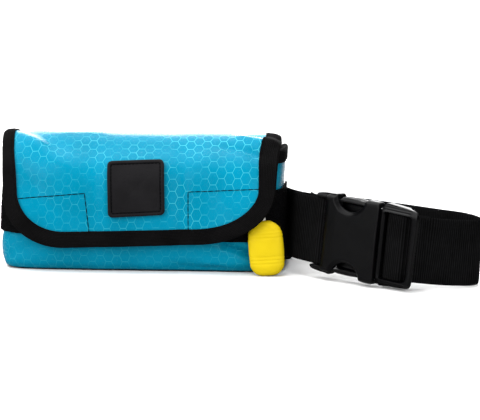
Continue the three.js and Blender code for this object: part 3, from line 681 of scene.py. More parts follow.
class Effects:
    """The shader groups that several finishes share, each built once."""

    # noise as scale and detail, and the wear of the lines that it makes
    wear_noise: Pair = (0.045, 4.0)
    wear: Four = (0.36, 0.62, 0.12, 1.0)
    level_wear: float = 0.6
    thread_noise: Pair = (0.7, 2.0)
    broad_detail: float = 2.0
    fine_scale: float = 22.0
    fine_detail: float = 5.0

    def __init__(self) -> None:
        """Builds every group."""
        self.hexagons = self.build_hexagons()
        self.threads = self.build_threads()
        self.handling = self.build_handling()

    def build_hexagons(self) -> Tree:
        """Builds the ripstop's hexagon lines, flat at their tops.

        Returns:
            The group.
        """
        numbers = {"Column": 4.8, "Row": 7.0, "Line": 0.08}
        board, given, out = new_group("hexagon_ripstop", "Flat", numbers, ("Mask",))
        flat, column, row, line = (given.outputs[label] for label in ("Flat", *numbers))
        place = board.parts(flat)
        down = board.over(place["Y"], row)
        across = board.over(place["X"], board.times(column, 2.0))
        near = [self.cell(board, down, across, shift) for shift in (0.0, 0.5)]
        reach = [board.plus(board.times(x, x), board.times(y, y)) for x, y in near]
        first = board.math("LESS_THAN", *reach)
        other = board.minus(1.0, first)
        x, y = (board.plus(board.times(first, a), board.times(other, b)) for a, b in zip(*near))
        slant = board.plus(board.times(x, 0.5), board.times(y, math.sqrt(3.0) / 2.0))
        low = board.minus(0.5, line)
        worn = board.ramp(board.noise(flat, *self.wear_noise), *self.wear)
        kept = board.plus(board.times(worn, self.level_wear), 1.0 - self.level_wear)
        level = board.times(board.ramp(x, low, 0.5), kept)
        leaning = board.times(board.ramp(slant, low, 0.5), worn)
        board.feed(out.inputs["Mask"], board.math("MAXIMUM", level, leaning))
        return board.tree

    def cell(
        self, board: NodeBoard, down: Socket, across: Socket, shift: float
    ) -> tuple[Socket, Socket]:
        """Gives the distances from the middle of one of the two sets of cells.

        Args:
            board: the group's board.
            down: places down the cloth, in rows.
            across: places across it, in columns.
            shift: how far the set is moved.

        Returns:
            The distances in both directions.
        """
        sides = []
        for value, period in ((down, 1.0), (across, math.sqrt(3.0))):
            moved = board.math("FRACT", board.minus(value, shift))
            sides.append(board.times(board.math("ABSOLUTE", board.minus(moved, 0.5)), period))
        return sides[0], sides[1]

    def build_threads(self) -> Tree:
        """Builds woven threads: waves along both directions of the flat cloth.

        Returns:
            The group.
        """
        numbers = {"Along": 1.0, "Across": 1.0, "Slant": 0.0, "Cross": 1.0}
        board, given, out = new_group("woven_threads", "Flat", numbers, ("Height", "Variation"))
        flat, along, across, slant, cross = (given.outputs[label] for label in ("Flat", *numbers))
        place = board.parts(flat)
        leaning = board.plus(place["Y"], board.times(place["X"], slant))
        turns = [board.over(leaning, along), board.over(place["X"], across)]
        waves = []
        for turn in turns:
            wave = board.math("SINE", board.times(turn, 2.0 * math.pi))
            waves.append(board.math("MULTIPLY_ADD", wave, 0.5))
            waves[-1].node.inputs[2].default_value = 0.5
        crossed = board.plus(board.minus(1.0, cross), board.times(waves[1], cross))
        board.feed(out.inputs["Height"], board.times(waves[0], crossed))
        stretched = board.node("ShaderNodeCombineXYZ")
        board.feed(stretched.inputs["X"], turns[1])
        board.feed(stretched.inputs["Y"], turns[0])
        board.feed(out.inputs["Variation"], board.noise(stretched.outputs[0], *self.thread_noise))
        return board.tree

    def build_handling(self) -> Tree:
        """Builds broad handling marks: slow changes of shade and gloss.

        Returns:
            The group.
        """
        board, given, out = new_group("handling_marks", "Place", {"Scale": 40.0}, ("Broad", "Fine"))
        place, scale = given.outputs["Place"], given.outputs["Scale"]
        broad = board.noise(place, scale, self.broad_detail)
        fine = board.noise(place, board.times(scale, self.fine_scale), self.fine_detail)
        board.feed(out.inputs["Broad"], board.ramp(broad, *MARK_RANGE))
        board.feed(out.inputs["Fine"], fine)
        return board.tree


class Look(NodeBoard):
    """A material under construction."""

    def __init__(self, name: str, roughness: float, specular: float) -> None:
        """Starts the material.

        Args:
            name: its name.
            roughness: the shader's roughness where nothing changes it.
            specular: the shader's specular level.
        """
        self.material = bpy.data.materials.new(name)
        self.material.use_nodes = True
        super().__init__(self.material.node_tree)
        self.roughness = roughness
        self.shader = next(n for n in self.tree.nodes if n.type == "BSDF_PRINCIPLED")
        self.shader.inputs["Roughness"].default_value = roughness
        self.shader.inputs["Specular IOR Level"].default_value = specular
        coords = self.node("ShaderNodeTexCoord")
        self.flat, self.place = coords.outputs["UV"], coords.outputs["Object"]

    def marks(self, effects: Effects, scale: float) -> Outputs:
        """Places the handling marks at a scale."""
        return self.group(effects.handling, Place=self.place, Scale=scale).outputs

    def worn(self, fine: Socket, less: float, more: float) -> Socket:
        """Varies the roughness with the fine marks."""
        return self.ramp(fine, *MARK_RANGE, self.roughness - less, self.roughness + more)

    def finish(self, colour: object, rough: object, normal: object) -> Material:
        """Feeds the shader and gives the material.

        Args:
            colour: the base colour.
            rough: the roughness.
            normal: the normal.

        Returns:
            The material.
        """
        for key, value in (("Base Color", colour), ("Roughness", rough), ("Normal", normal)):
            self.feed(self.shader.inputs[key], value)
        return self.material


@dataclass(frozen=True)
class RipstopFinish:
    """Coated cloth with thin lighter hexagon lines, and a painted contact shadow round its base."""

    cloth: Colour = (0, 124, 154)
    line: Colour = (72, 196, 208)
    # painted contact shadow: the near-black the cloth turns to round its base, where it meets the floor
    seam: Colour = (2, 8, 10)
    deep_share: float = 0.94
    column: float = 4.7
    row: float = 7.0
    line_share: float = 0.048
    thread: float = 0.34
    thread_height: float = 0.25
    relief: float = 0.08
    relief_strength: float = 0.8
    marks_scale: float = 32.0
    roughness: float = 0.24
    rough_change: float = 0.05
    line_gloss: float = -0.06
    specular: float = 0.06
    # where on the flat cloth the lines fade, and how strong they are at both ends: across, stronger to the
    # right; along, stronger over the top of the flap, a painted sheen where the top catches the light
    fade_across: Four = (-70.0, 30.0, 0.22, 0.5)
    line_sheen_towards_top: Four = (-84.0, -64.0, 0.0, 0.34)
    # heights of the painted contact shadow round the base, dark below the first and gone above the second,
    # and its strength
    base_shadow_band: Pair = (0.8, 1.6)
    base_shadow_strength: float = 0.9

    def build(self, effects: Effects) -> Material:
        """Builds the material.

        Args:
            effects: the shared shader groups.

        Returns:
            The material.
        """
        look = Look("hexagon_ripstop", self.roughness, self.specular)
        lines = {"Column": self.column, "Row": self.row, "Line": self.line_share}
        cells = look.group(effects.hexagons, Flat=look.flat, **lines)
        threads = look.group(effects.threads, Flat=look.flat, Along=self.thread, Across=self.thread)
        marks = look.marks(effects, self.marks_scale)
        flat = look.parts(look.flat)
        # the lines are the cloth's own; their extra strength over the top of the flap is a painted sheen
        strength = look.plus(look.ramp(flat["X"], *self.fade_across), look.ramp(flat["Y"], *self.line_sheen_towards_top))
        mask = look.times(cells.outputs["Mask"], strength)
        deep = linear(*[int(c * self.deep_share) for c in self.cloth])
        lined = look.mix(mask, look.mix(marks["Broad"], deep, linear(*self.cloth)), linear(*self.line))
        # painted contact shadow: the cloth turns near-black in its lowest 1.6 mm, where it meets the floor
        low, high = (level * MM for level in self.base_shadow_band)
        seam = look.ramp(look.parts(look.place)["Z"], low, high, self.base_shadow_strength, 0.0)
        rough = look.worn(marks["Fine"], self.rough_change, self.rough_change)
        rough = look.plus(rough, look.times(mask, self.line_gloss))
        height = look.plus(look.times(threads.outputs["Height"], self.thread_height), mask)
        normal = look.bump(height, self.relief * MM, self.relief_strength)
        # the colour is mixed towards the painted contact shadow at the base
        return look.finish(look.mix(seam, lined, linear(*self.seam)), rough, normal)


@dataclass(frozen=True)
class WovenFinish:
    """A tape, strap or plain cloth of visible threads."""

    name: str
    colour: Colour
    light: Colour
    weave: Weave
    along: float
    across: float
    relief: float
    roughness: float = 0.85
    rough_change: float = 0.06
    specular: float = 0.03
    rib_cross: float = 0.12
    variation: Four = (0.2, 0.8, 0.5, 1.0)
    marks_scale: float = 60.0
    marks_share: float = 0.2

    def build(self, effects: Effects) -> Material:
        """Builds the material.

        Args:
            effects: the shared shader groups.

        Returns:
            The material.
        """
        look = Look(self.name, self.roughness, self.specular)
        slant = 1.0 if self.weave is Weave.TWILL else 0.0
        cross = self.rib_cross if self.weave is Weave.RIBBED else 1.0
        pitches = {"Along": self.along, "Across": self.across, "Slant": slant, "Cross": cross}
        threads = look.group(effects.threads, Flat=look.flat, **pitches).outputs
        marks = look.marks(effects, self.marks_scale)
        shade = look.times(threads["Height"], look.ramp(threads["Variation"], *self.variation))
        shade = look.plus(shade, look.times(marks["Broad"], self.marks_share))
        colour = look.mix(shade, linear(*self.colour), linear(*self.light))
        rough = look.worn(marks["Fine"], self.rough_change, self.rough_change)
        return look.finish(colour, rough, look.bump(threads["Height"], self.relief * MM))


@dataclass(frozen=True)
class FuzzFinish:
    """A brushed fastener strip of fine loops."""

    colour: Colour = (1, 1, 2)
    light: Colour = (13, 13, 14)
    tuft_noise: Pair = (1500.0, 4.0)
    tuft_range: Pair = (0.35, 0.75)
    relief: float = 0.6
    marks_scale: float = 90.0
    roughness: Triple = (0.9, 0.95, 1.0)
    specular: float = 0.05

    def build(self, effects: Effects) -> Material:
        """Builds the material.

        Args:
            effects: the shared shader groups.

        Returns:
            The material.
        """
        least, usual, most = self.roughness
        look = Look("brushed_loops", usual, self.specular)
        tufts = look.noise(look.place, *self.tuft_noise)
        shade = look.ramp(tufts, *self.tuft_range)
        rough = look.ramp(look.marks(effects, self.marks_scale)["Broad"], 0.0, 1.0, least, most)
        colour = look.mix(shade, linear(*self.colour), linear(*self.light))
        return look.finish(colour, rough, look.bump(tufts, self.relief * MM))


@dataclass(frozen=True)
class MouldedFinish:
    """Moulded plastic or rubber with a fine grain."""

    name: str
    colour: Colour
    light: Colour
    roughness: float
    specular: float
    grain: float
    grain_depth: float
    grain_detail: float = 2.0
    marks_scale: float = 70.0
    rough_change: Pair = (0.05, 0.07)

    def build(self, effects: Effects) -> Material:
        """Builds the material.

        Args:
            effects: the shared shader groups.

        Returns:
            The material.
        """
        look = Look(self.name, self.roughness, self.specular)
        marks = look.marks(effects, self.marks_scale)
        grain = look.noise(look.place, self.grain, self.grain_detail)
        colour = look.mix(marks["Broad"], linear(*self.colour), linear(*self.light))
        rough = look.worn(marks["Fine"], *self.rough_change)
        return look.finish(colour, rough, look.bump(grain, self.grain_depth * MM))


@dataclass(frozen=True)
class ThreadFinish:
    """Twisted sewing thread or braided cord."""

    name: str
    colour: Colour
    light: Colour
    roughness: float
    specular: float
    twist_noise: Pair = (2600.0, 2.0)
    relief: float = 0.12
    marks_scale: float = 80.0
    rough_change: float = 0.05

    def build(self, effects: Effects) -> Material:
        """Builds the material.

        Args:
            effects: the shared shader groups.

        Returns:
            The material.
        """
        look = Look(self.name, self.roughness, self.specular)
        twist = look.noise(look.place, *self.twist_noise)
        colour = look.mix(look.ramp(twist, *MARK_RANGE), linear(*self.colour), linear(*self.light))
        fine = look.marks(effects, self.marks_scale)["Fine"]
        rough = look.worn(fine, self.rough_change, self.rough_change)
        return look.finish(colour, rough, look.bump(twist, self.relief * MM))


@dataclass
class Finishes:
    """Every material of the pack, built once."""

    effects: Effects

    def __post_init__(self) -> None:
        """Builds the materials."""
        looks = {
            "ripstop": RipstopFinish(),
            "tape": WovenFinish("binding_tape", (3, 3, 3), (23, 22, 23), Weave.TWILL, 1.0, 0.8, 0.12),
            "webbing": WovenFinish("ribbed_webbing", (1, 1, 1), (19, 19, 20), Weave.RIBBED, 1.26, 1.6, 0.08),
            "sleeve": WovenFinish("sleeve_cloth", (6, 6, 7), (20, 20, 21), Weave.PLAIN, 0.8, 0.8, 0.10),
            "fastener": FuzzFinish(),
            "buckle": MouldedFinish("buckle_plastic", (2, 2, 3), (4, 4, 5), 0.34, 0.085, 2400.0, 0.02),
            "badge": MouldedFinish("badge_rubber", (13, 12, 14), (18, 17, 19), 0.6, 0.08, 2800.0, 0.10),
            "toggle": MouldedFinish("toggle_rubber", (203, 176, 12), (210, 184, 17), 0.5, 0.1, 1900.0, 0.05),
            "dark_thread": ThreadFinish("dark_thread", (2, 3, 4), (6, 9, 11), 0.8, 0.03),
            "cord": ThreadFinish("white_cord", (200, 200, 192), (226, 226, 220), 0.7, 0.2),
        }
        for key, look in looks.items():
            setattr(self, key, look.build(self.effects))


@dataclass
class PouchForm:
    """The pouch's outer surface: rounded plan sections up its height, in millimetres."""

    squareness: float = 4.6
    # height, half width, front, back, squareness of the front half
    sections: tuple[tuple[float, ...], ...] = (
        (0, 77, -24.5, 24.5, 8), (1.5, 79.4, -26.8, 27, 8), (5, 80.9, -28.8, 28.2, 7.2),
        (13, 81.4, -30, 28.5, 6), (28, 81, -30.4, 28.5, 4.8), (44, 80.4, -28.8, 28.5, 4.6),
        (56, 81, -25.4, 28, 4.6), (69, 81.6, -18.8, 26, 4.6),
    )
    rim_front: float = 63.0
    rim_side: float = 67.5
    rim_back: float = 57.0
    rim_level: float = 56.0
    rim_front_y: Pair = (-24.0, -17.0)
    rim_back_y: Pair = (8.0, 22.0)
    girth_level: float = 28.0
    levels: int = 70
    steps: int = 1440
    # how far apart the surface is read for its directions
    turn_step: float = 0.002
    level_step: float = 1.0
    folds: tuple[Fold, ...] = ()

    def __post_init__(self) -> None:
        """Works out, level by level, the angle at each share of the way round from the back's middle."""
        self.section = TableCurve(self.sections)
        self.turns = np.linspace(0.0, 1.0, self.steps + 1)
        angle = 2.0 * math.pi * self.turns
        shares = [self.reach(angle, z)[0] for z in range(self.levels + 1)]
        self.angles = np.array([np.interp(self.turns, share, angle) for share in shares])
        self.girth = self.reach(angle, self.girth_level)[1]

    def reach(self, angle: Array, z: float) -> tuple[Array, float]:
        """Gives each angle's share of the way round one level's outline, and that outline's length."""
        lengths = distances_along(self.plan(angle, np.full_like(angle, z)))
        return lengths / lengths[-1], float(lengths[-1])

    def plan(self, angle: Array, z: Array) -> Array:
        """Gives surface points from angles round the plan and heights.

        Args:
            angle: angles round the plan.
            z: heights.

        Returns:
            The points.
        """
        half, front, back, front_square = self.section.at(np.clip(z, 0.0, None)).T
        side, depth = np.sin(angle), np.cos(angle)
        square = np.where(depth < 0.0, front_square, self.squareness)
        scale = (np.abs(side) ** square + np.abs(depth) ** square) ** (-1.0 / square)
        y = (front + back) / 2.0 + depth * scale * (back - front) / 2.0
        return np.stack([side * scale * half, y, z], axis=1)

    def point(self, turn: Array, z: Array) -> Array:
        """Gives surface points from a turn round the plan, 0 to 1, and a height.

        Args:
            turn: turns round the plan, 0 to 1.
            z: heights.

        Returns:
            The points.
        """
        place, level = np.mod(turn, 1.0) * self.steps, np.clip(z, 0.0, self.levels)
        i = np.minimum(place.astype(int), self.steps - 1)
        j = np.minimum(level.astype(int), self.levels - 1)
        before, after = ([self.angles[j + k, i + n] for k in (0, 1)] for n in (0, 1))
        low, high = (a + (b - a) * (place - i) for a, b in zip(before, after))
        return self.plan(low + (high - low) * (level - j), z)

    def normal(self, turn: Array, z: Array) -> Array:
        """Gives the outward directions at the same places.

        Args:
            turn: turns round the plan, 0 to 1.
            z: heights.

        Returns:
            Directions of length 1.
        """
        ahead = self.point(turn + self.turn_step, z) - self.point(turn - self.turn_step, z)
        low = np.maximum(z - self.level_step, 0.0)
        rise = self.point(turn, low + 2.0 * self.level_step) - self.point(turn, low)
        return unit(np.cross(rise, ahead))

    def at(self, turn: Array, z: Array, outset: Array | float) -> Array:
        """Gives points at a distance out from the surface, with its folds.

        Args:
            turn: turns round the plan, 0 to 1.
            z: heights.
            outset: distances out from the surface.

        Returns:
            The points.
        """
        lift = lift_of(self.folds, turn * self.girth, z) + outset
        points = self.point(turn, z) + self.normal(turn, z) * np.broadcast_to(lift, turn.shape)[:, None]
        points[:, 2] = np.maximum(points[:, 2], 0.0)
        return points

    def rim(self, turn: Array) -> Array:
        """Gives the height of the mouth's rim.

        Args:
            turn: turns round the plan, 0 to 1.

        Returns:
            The heights.
        """
        y = self.point(turn, np.full_like(turn, self.rim_level))[:, 1]
        front = 1.0 - smooth_step(y, *self.rim_front_y)
        back = smooth_step(y, *self.rim_back_y)
        side = self.rim_side
        return side + (self.rim_front - side) * front + (self.rim_back - side) * back

    def turns_before(self, y: float, z: float) -> Pair:
        """Gives the turns on the right and on the left where the surface passes a depth.

        Args:
            y: the depth.
            z: the height.

        Returns:
            The turn on the right and the turn on the left.
        """
        places = self.point(self.turns, np.full_like(self.turns, z))[:, 1]
        inside = np.nonzero(places <= y)[0]
        return float(self.turns[inside[0]]), float(self.turns[inside[-1]])


@dataclass
class FlapForm:
    """The flap's middle surface, by distance across it and distance along its profile, in millimetres."""

    # y and z from the back seam over the top to the front edge
    profile: Pairs = (
        (29.6, 48.5), (29.8, 57), (28, 64.2), (21.5, 70.2), (10, 73.6), (-3, 75.4), (-14.5, 73.6),
        (-23.8, 67), (-29.8, 57.5), (-32.7, 46), (-34.4, 34), (-35, 24), (-34.7, 17.4),
    )
    # share along, left edge, right edge
    sides: Triples = (
        (0, -79, 76),
        (0.3, -80, 77.5),
        (0.45, -80.2, 79),
        (0.75, -78.6, 77.6),
        (1, -78.6, 77.6),
    )
    corner_left: float = 35.0
    corner_right: float = 45.0
    corner_height: float = 30.0
    edge_rise: float = 0.04
    bow: float = 1.8
    half: float = 80.0
    toggle_x: float = 68.0
    toggle_z: float = 27.0
    toggle_reach: float = 22.0
    toggle_lift: float = 5.6
    # how much the cloth faces the front where the toggle starts to push it, and where it does so fully
    facing: Pair = (0.2, 0.8)
    cloth: float = 1.4
    step: float = 0.5
    reads: int = 600
    # share of the rows before the round corners
    row_split: float = 0.62
    rim_start: float = 0.02
    rim_counts: tuple[int, int] = (90, 40)
    folds: tuple[Fold, ...] = ()

    def __post_init__(self) -> None:
        """Works out the profile's path."""
        self.path = SmoothPath([(0.0, y, z) for y, z in self.profile])
        self.length = self.path.length
        self.side = TableCurve(self.sides)

    def middle(self, x: Array, along: Array) -> Array:
        """Gives the points of the surface.

        Args:
            x: distances across the flap.
            along: distances along its profile.

        Returns:
            The points.
        """
        run = along - self.edge_rise * x * (along / self.length) ** 2
        inside = np.clip(run, 0.0, self.length)
        tangent = self.path.tangent(inside)
        point = self.path.at(inside) + tangent * (run - inside)[:, None]
        out = np.stack([np.zeros_like(x), tangent[:, 2], -tangent[:, 1]], axis=1)
        sag = -self.bow * (x / self.half) ** 2 * np.maximum(0.0, -out[:, 1]) ** 2
        far = np.hypot(x - self.toggle_x, point[:, 2] - self.toggle_z) / self.toggle_reach
        pushed = smooth_step(-out[:, 1], *self.facing) * self.toggle_lift * np.exp(-far * far)
        point = point + out * (sag + pushed + lift_of(self.folds, x, along))[:, None]
        point[:, 0] = x
        return point

    def normal(self, x: Array, along: Array) -> Array:
        """Gives the outward directions of the surface.

        Args:
            x: distances across the flap.
            along: distances along its profile.

        Returns:
            Directions of length 1.
        """
        step = self.step
        across = self.middle(x + step, along) - self.middle(x - step, along)
        down = self.middle(x, along + step) - self.middle(x, along - step)
        return unit(np.cross(down, across))

    def at(self, x: Array, along: Array, height: Array | float) -> Array:
        """Gives points at a height over the surface."""
        lift = np.broadcast_to(np.asarray(height, float), x.shape)[:, None]
        return self.middle(x, along) + self.normal(x, along) * lift

    def along_at(self, z: Array) -> Array:
        """Gives how far along the profile the front passes a height.

        Args:
            z: heights.

        Returns:
            The distances along.
        """
        distance = np.linspace(self.length / 2.0, self.length, self.reads)
        heights = self.path.at(distance)[:, 2]
        return np.interp(-np.asarray(z, float), -heights, distance)

    def edges(self, along: Array) -> tuple[Array, Array]:
        """Gives the left and right edges at distances along.

        Args:
            along: distances along the profile.

        Returns:
            The left edges and the right edges.
        """
        left, right = self.side.at(along / self.length).T
        straight = self.length - self.corner_height
        share = np.clip((along - straight) / self.corner_height, 0.0, 1.0)
        inset = 1.0 - np.sqrt(1.0 - share * share)
        return left + self.corner_left * inset, right - self.corner_right * inset

    def rows(self, share: Array) -> Array:
        """Gives distances along from shares, closer together in the round corners.

        Args:
            share: shares of the rows.

        Returns:
            The distances along.
        """
        straight = self.length - self.corner_height
        split = self.row_split
        early = straight * share / split
        past = np.clip((share - split) / (1.0 - split), 0.0, 1.0)
        late = straight + self.corner_height * np.sin(past * math.pi / 2.0)
        return np.where(share <= split, early, late)

    def rim(self) -> SmoothPath:
        """Gives the free edge's line on the flat cloth, from the left seam round to the right one.

        Returns:
            The line.
        """
        side_count, bottom_count = self.rim_counts
        along = self.rows(np.linspace(self.rim_start, 1.0, side_count))
        left, right = self.edges(along)
        bottom = np.linspace(left[-1], right[-1], bottom_count)[1:-1]
        x = np.concatenate([left, bottom, right[::-1]])
        y = np.concatenate([along, np.full(len(bottom), self.length), along[::-1]])
        return SmoothPath(np.stack([x, y, np.zeros_like(x)], axis=1), steps=4)


@dataclass
class Pouch:
    """The sewn pouch with its mouth tape and its fastener strip."""

    form: PouchForm
    finishes: Finishes
    wall: float = 1.8
    columns: int = 264
    rows: int = 72
    # the lowest part of the wall and its share of the rows
    low_level: float = 6.0
    low_rows: float = 0.22
    # moves the pouch's pattern to where its lines are weak
    pattern_shift: Pair = (450.0, 300.0)
    tape: float = 0.9
    gap: float = 0.3
    tape_depth: float = 5.4
    tape_end_y: float = 14.0
    tape_grid: tuple[int, int] = (22, 170)
    strip_cloth: float = 1.2
    strip_bottom: float = 20.2
    # how much the strip's lower and upper edges rise along x
    strip_slopes: Pair = (-0.021, 0.0145)
    strip_side_bottom: float = 5.0
    strip_top: float = 46.6
    strip_end_y: float = 7.0
    strip_drop_y: Pair = (-24.0, -14.0)
    strip_grid: tuple[int, int] = (56, 400)
    strip_flat: float = 25.0
    # spread, limits and middle of the nap's height
    fuzz: float = 0.28
    fuzz_range: Pair = (-0.3, 0.6)
    fuzz_base: float = 0.2

    def build(self) -> None:
        """Builds and dresses the three pieces."""
        self.body()
        self.mouth_tape()
        self.strip()

    def body(self) -> None:
        """Builds the cloth: walls rolled from a grid, with a flat base and a face across the mouth."""
        form = self.form

        def place(across: Array, along: Array) -> Array:
            """Lays the wall, with more rows in its lowest part.

            Args:
                across: shares across the cloth, 0 to 1.
                along: shares along the cloth, 0 to 1.

            Returns:
                The points, in millimetres.
            """
            low, share = self.low_level, self.low_rows
            above = low + (form.rim(across) - low) * (along - share) / (1.0 - share)
            return form.at(across, np.where(along < share, low * along / share, above), 0.0)

        def flat(across: Array, along: Array) -> Array:
            """Gives places on the flat cloth, moved by the pattern's shift."""
            aside, below = self.pattern_shift
            return np.stack([across * form.girth - aside, place(across, along)[:, 2] - below], axis=1)

        piece = add_grid("pouch_cloth", self.columns, self.rows, place, flat)
        merge_seam(piece, cap=True)
        apply_modifier(piece, "SOLIDIFY", thickness=self.wall * MM, offset=-1.0)
        smooth_faces(piece)
        finish_piece(piece, self.finishes.ripstop, ("pouch_body",))

    def mouth_tape(self) -> None:
        """Builds the tape folded over the mouth's rim."""
        form = self.form
        start, end = form.turns_before(self.tape_end_y, form.rim_side)
        radius = (self.wall + 2.0 * self.gap + self.tape) / 2.0
        arm = self.tape_depth
        around = arm + math.pi * radius + arm

        def place(across: Array, along: Array) -> Array:
            """Lays the tape's one arm outside, bends it over the rim and lays the other inside.

            Args:
                across: shares across the cloth, 0 to 1.
                along: shares along the cloth, 0 to 1.

            Returns:
                The points, in millimetres.
            """
            turn = start + (end - start) * along
            s = across * around
            bend = np.clip((s - arm) / radius, 0.0, math.pi)
            drop = np.where(s < arm, s - arm, np.where(s > around - arm, around - arm - s, 0.0))
            rim = form.rim(turn)
            out = -self.wall / 2.0 + radius * np.cos(bend)
            rise = radius * np.sin(bend)
            up = unit(form.point(turn, rim) - form.point(turn, rim - 1.0))
            return form.at(turn, rim + drop, out) + up * rise[:, None]

        def flat(across: Array, along: Array) -> Array:
            """Gives places on the flat tape."""
            return np.stack([across * around, along * (end - start) * form.girth], axis=1)

        piece = lay_cloth("mouth_tape", self.tape_grid, place, flat, self.tape)
        finish_piece(piece, self.finishes.tape, ("mouth_binding",))

    def strip(self) -> None:
        """Builds the brushed fastener strip, wider on the right side, with a ragged nap."""
        form = self.form
        middle = (self.strip_bottom + self.strip_top) / 2.0
        start, end = form.turns_before(self.strip_end_y, middle)
        columns, rows = self.strip_grid
        nap = np.random.default_rng(SEED).normal(0.0, self.fuzz, (rows + 1) * (columns + 1))
        nap = np.clip(nap, *self.fuzz_range)
        base = self.gap + self.strip_cloth / 2.0 + self.fuzz_base

        def place(across: Array, along: Array) -> Array:
            """Lays the strip on the pouch, lower down round its right side.

            Args:
                across: shares across the cloth, 0 to 1.
                along: shares along the cloth, 0 to 1.

            Returns:
                The points, in millimetres.
            """
            turn = start + (end - start) * along
            x, y, _ = form.point(turn, np.full_like(turn, middle)).T
            drop = np.where(x > 0, smooth_step(y, *self.strip_drop_y), 0.0)
            low = self.strip_bottom + self.strip_slopes[0] * x
            top = self.strip_top + self.strip_slopes[1] * x
            bottom = low + (self.strip_side_bottom - low) * drop
            edge = np.minimum(across, 1.0 - across) * 2.0
            return form.at(turn, bottom + (top - bottom) * across, base + nap * np.sqrt(edge))

        def flat(across: Array, along: Array) -> Array:
            """Gives places on the flat strip."""
            return np.stack([across * self.strip_flat, along * (end - start) * form.girth], axis=1)

        piece = lay_cloth("loop_strip_nap", self.strip_grid, place, flat, self.strip_cloth)
        finish_piece(piece, self.finishes.fastener, ("loop_strip",))


@dataclass
class Stitching:
    """A row of stitches, one modelled and copied along lines."""

    name: str
    length: float = 2.6
    pitch: float = 2.9
    width: float = 0.5
    rise: float = 0.1
    flatness: float = 0.8
    # how far before and after a stitch its line is read
    reach: float = 0.4

    def spots(self, points: Array, outs: Array) -> list[Matrix]:
        """Gives the place and turn of each stitch along one line.

        Args:
            points: the line's points.
            outs: the outward directions there.

        Returns:
            One matrix for each stitch.
        """
        distance = distances_along(points)
        count = max(1, int(distance[-1] / self.pitch))

        def read(where: float, table: Array) -> Vector:
            """Reads a table of rows at a distance along the line."""
            return Vector([np.interp(where, distance, column) for column in table.T])

        made = []
        for k in range(count):
            where = (k + 0.5) * distance[-1] / count
            before, after = (read(where + side * self.reach, points) for side in (-1, 1))
            out = read(where, outs).normalized()
            run = (after - before).normalized()
            aside = run.cross(out).normalized()
            middle = (before + after) / 2.0 + out * self.rise
            turn = Matrix((aside, run.cross(aside), run)).transposed().to_4x4()
            made.append(Matrix.Translation(middle * MM) @ turn)
        return made

    def build(
        self, lines: Sequence[tuple[Array, Array]], material: Material, slot: Slot
    ) -> Piece:
        """Builds one object of stitches.

        Args:
            lines: for each line its points and the outward directions there.
            material: the thread.
            slot: a material slot name; not used.

        Returns:
            The object.
        """
        deselect()
        bpy.ops.mesh.primitive_uv_sphere_add(segments=8, ring_count=5, radius=0.5 * MM)
        piece = named(self.name)
        shape = np.diag([self.width, self.width * self.flatness, self.length])
        set_points(piece, get_points(piece) @ shape)
        one = piece.data.copy()
        mesh = bmesh.new()
        for spot in (spot for line in lines for spot in self.spots(*line)):
            before = len(mesh.verts)
            mesh.from_mesh(one)
            mesh.verts.ensure_lookup_table()
            bmesh.ops.transform(mesh, matrix=spot, verts=mesh.verts[before:])
        mesh.to_mesh(piece.data)
        mesh.free()
        bpy.data.meshes.remove(one)
        smooth_faces(piece)
        finish_piece(piece, material)
        return piece


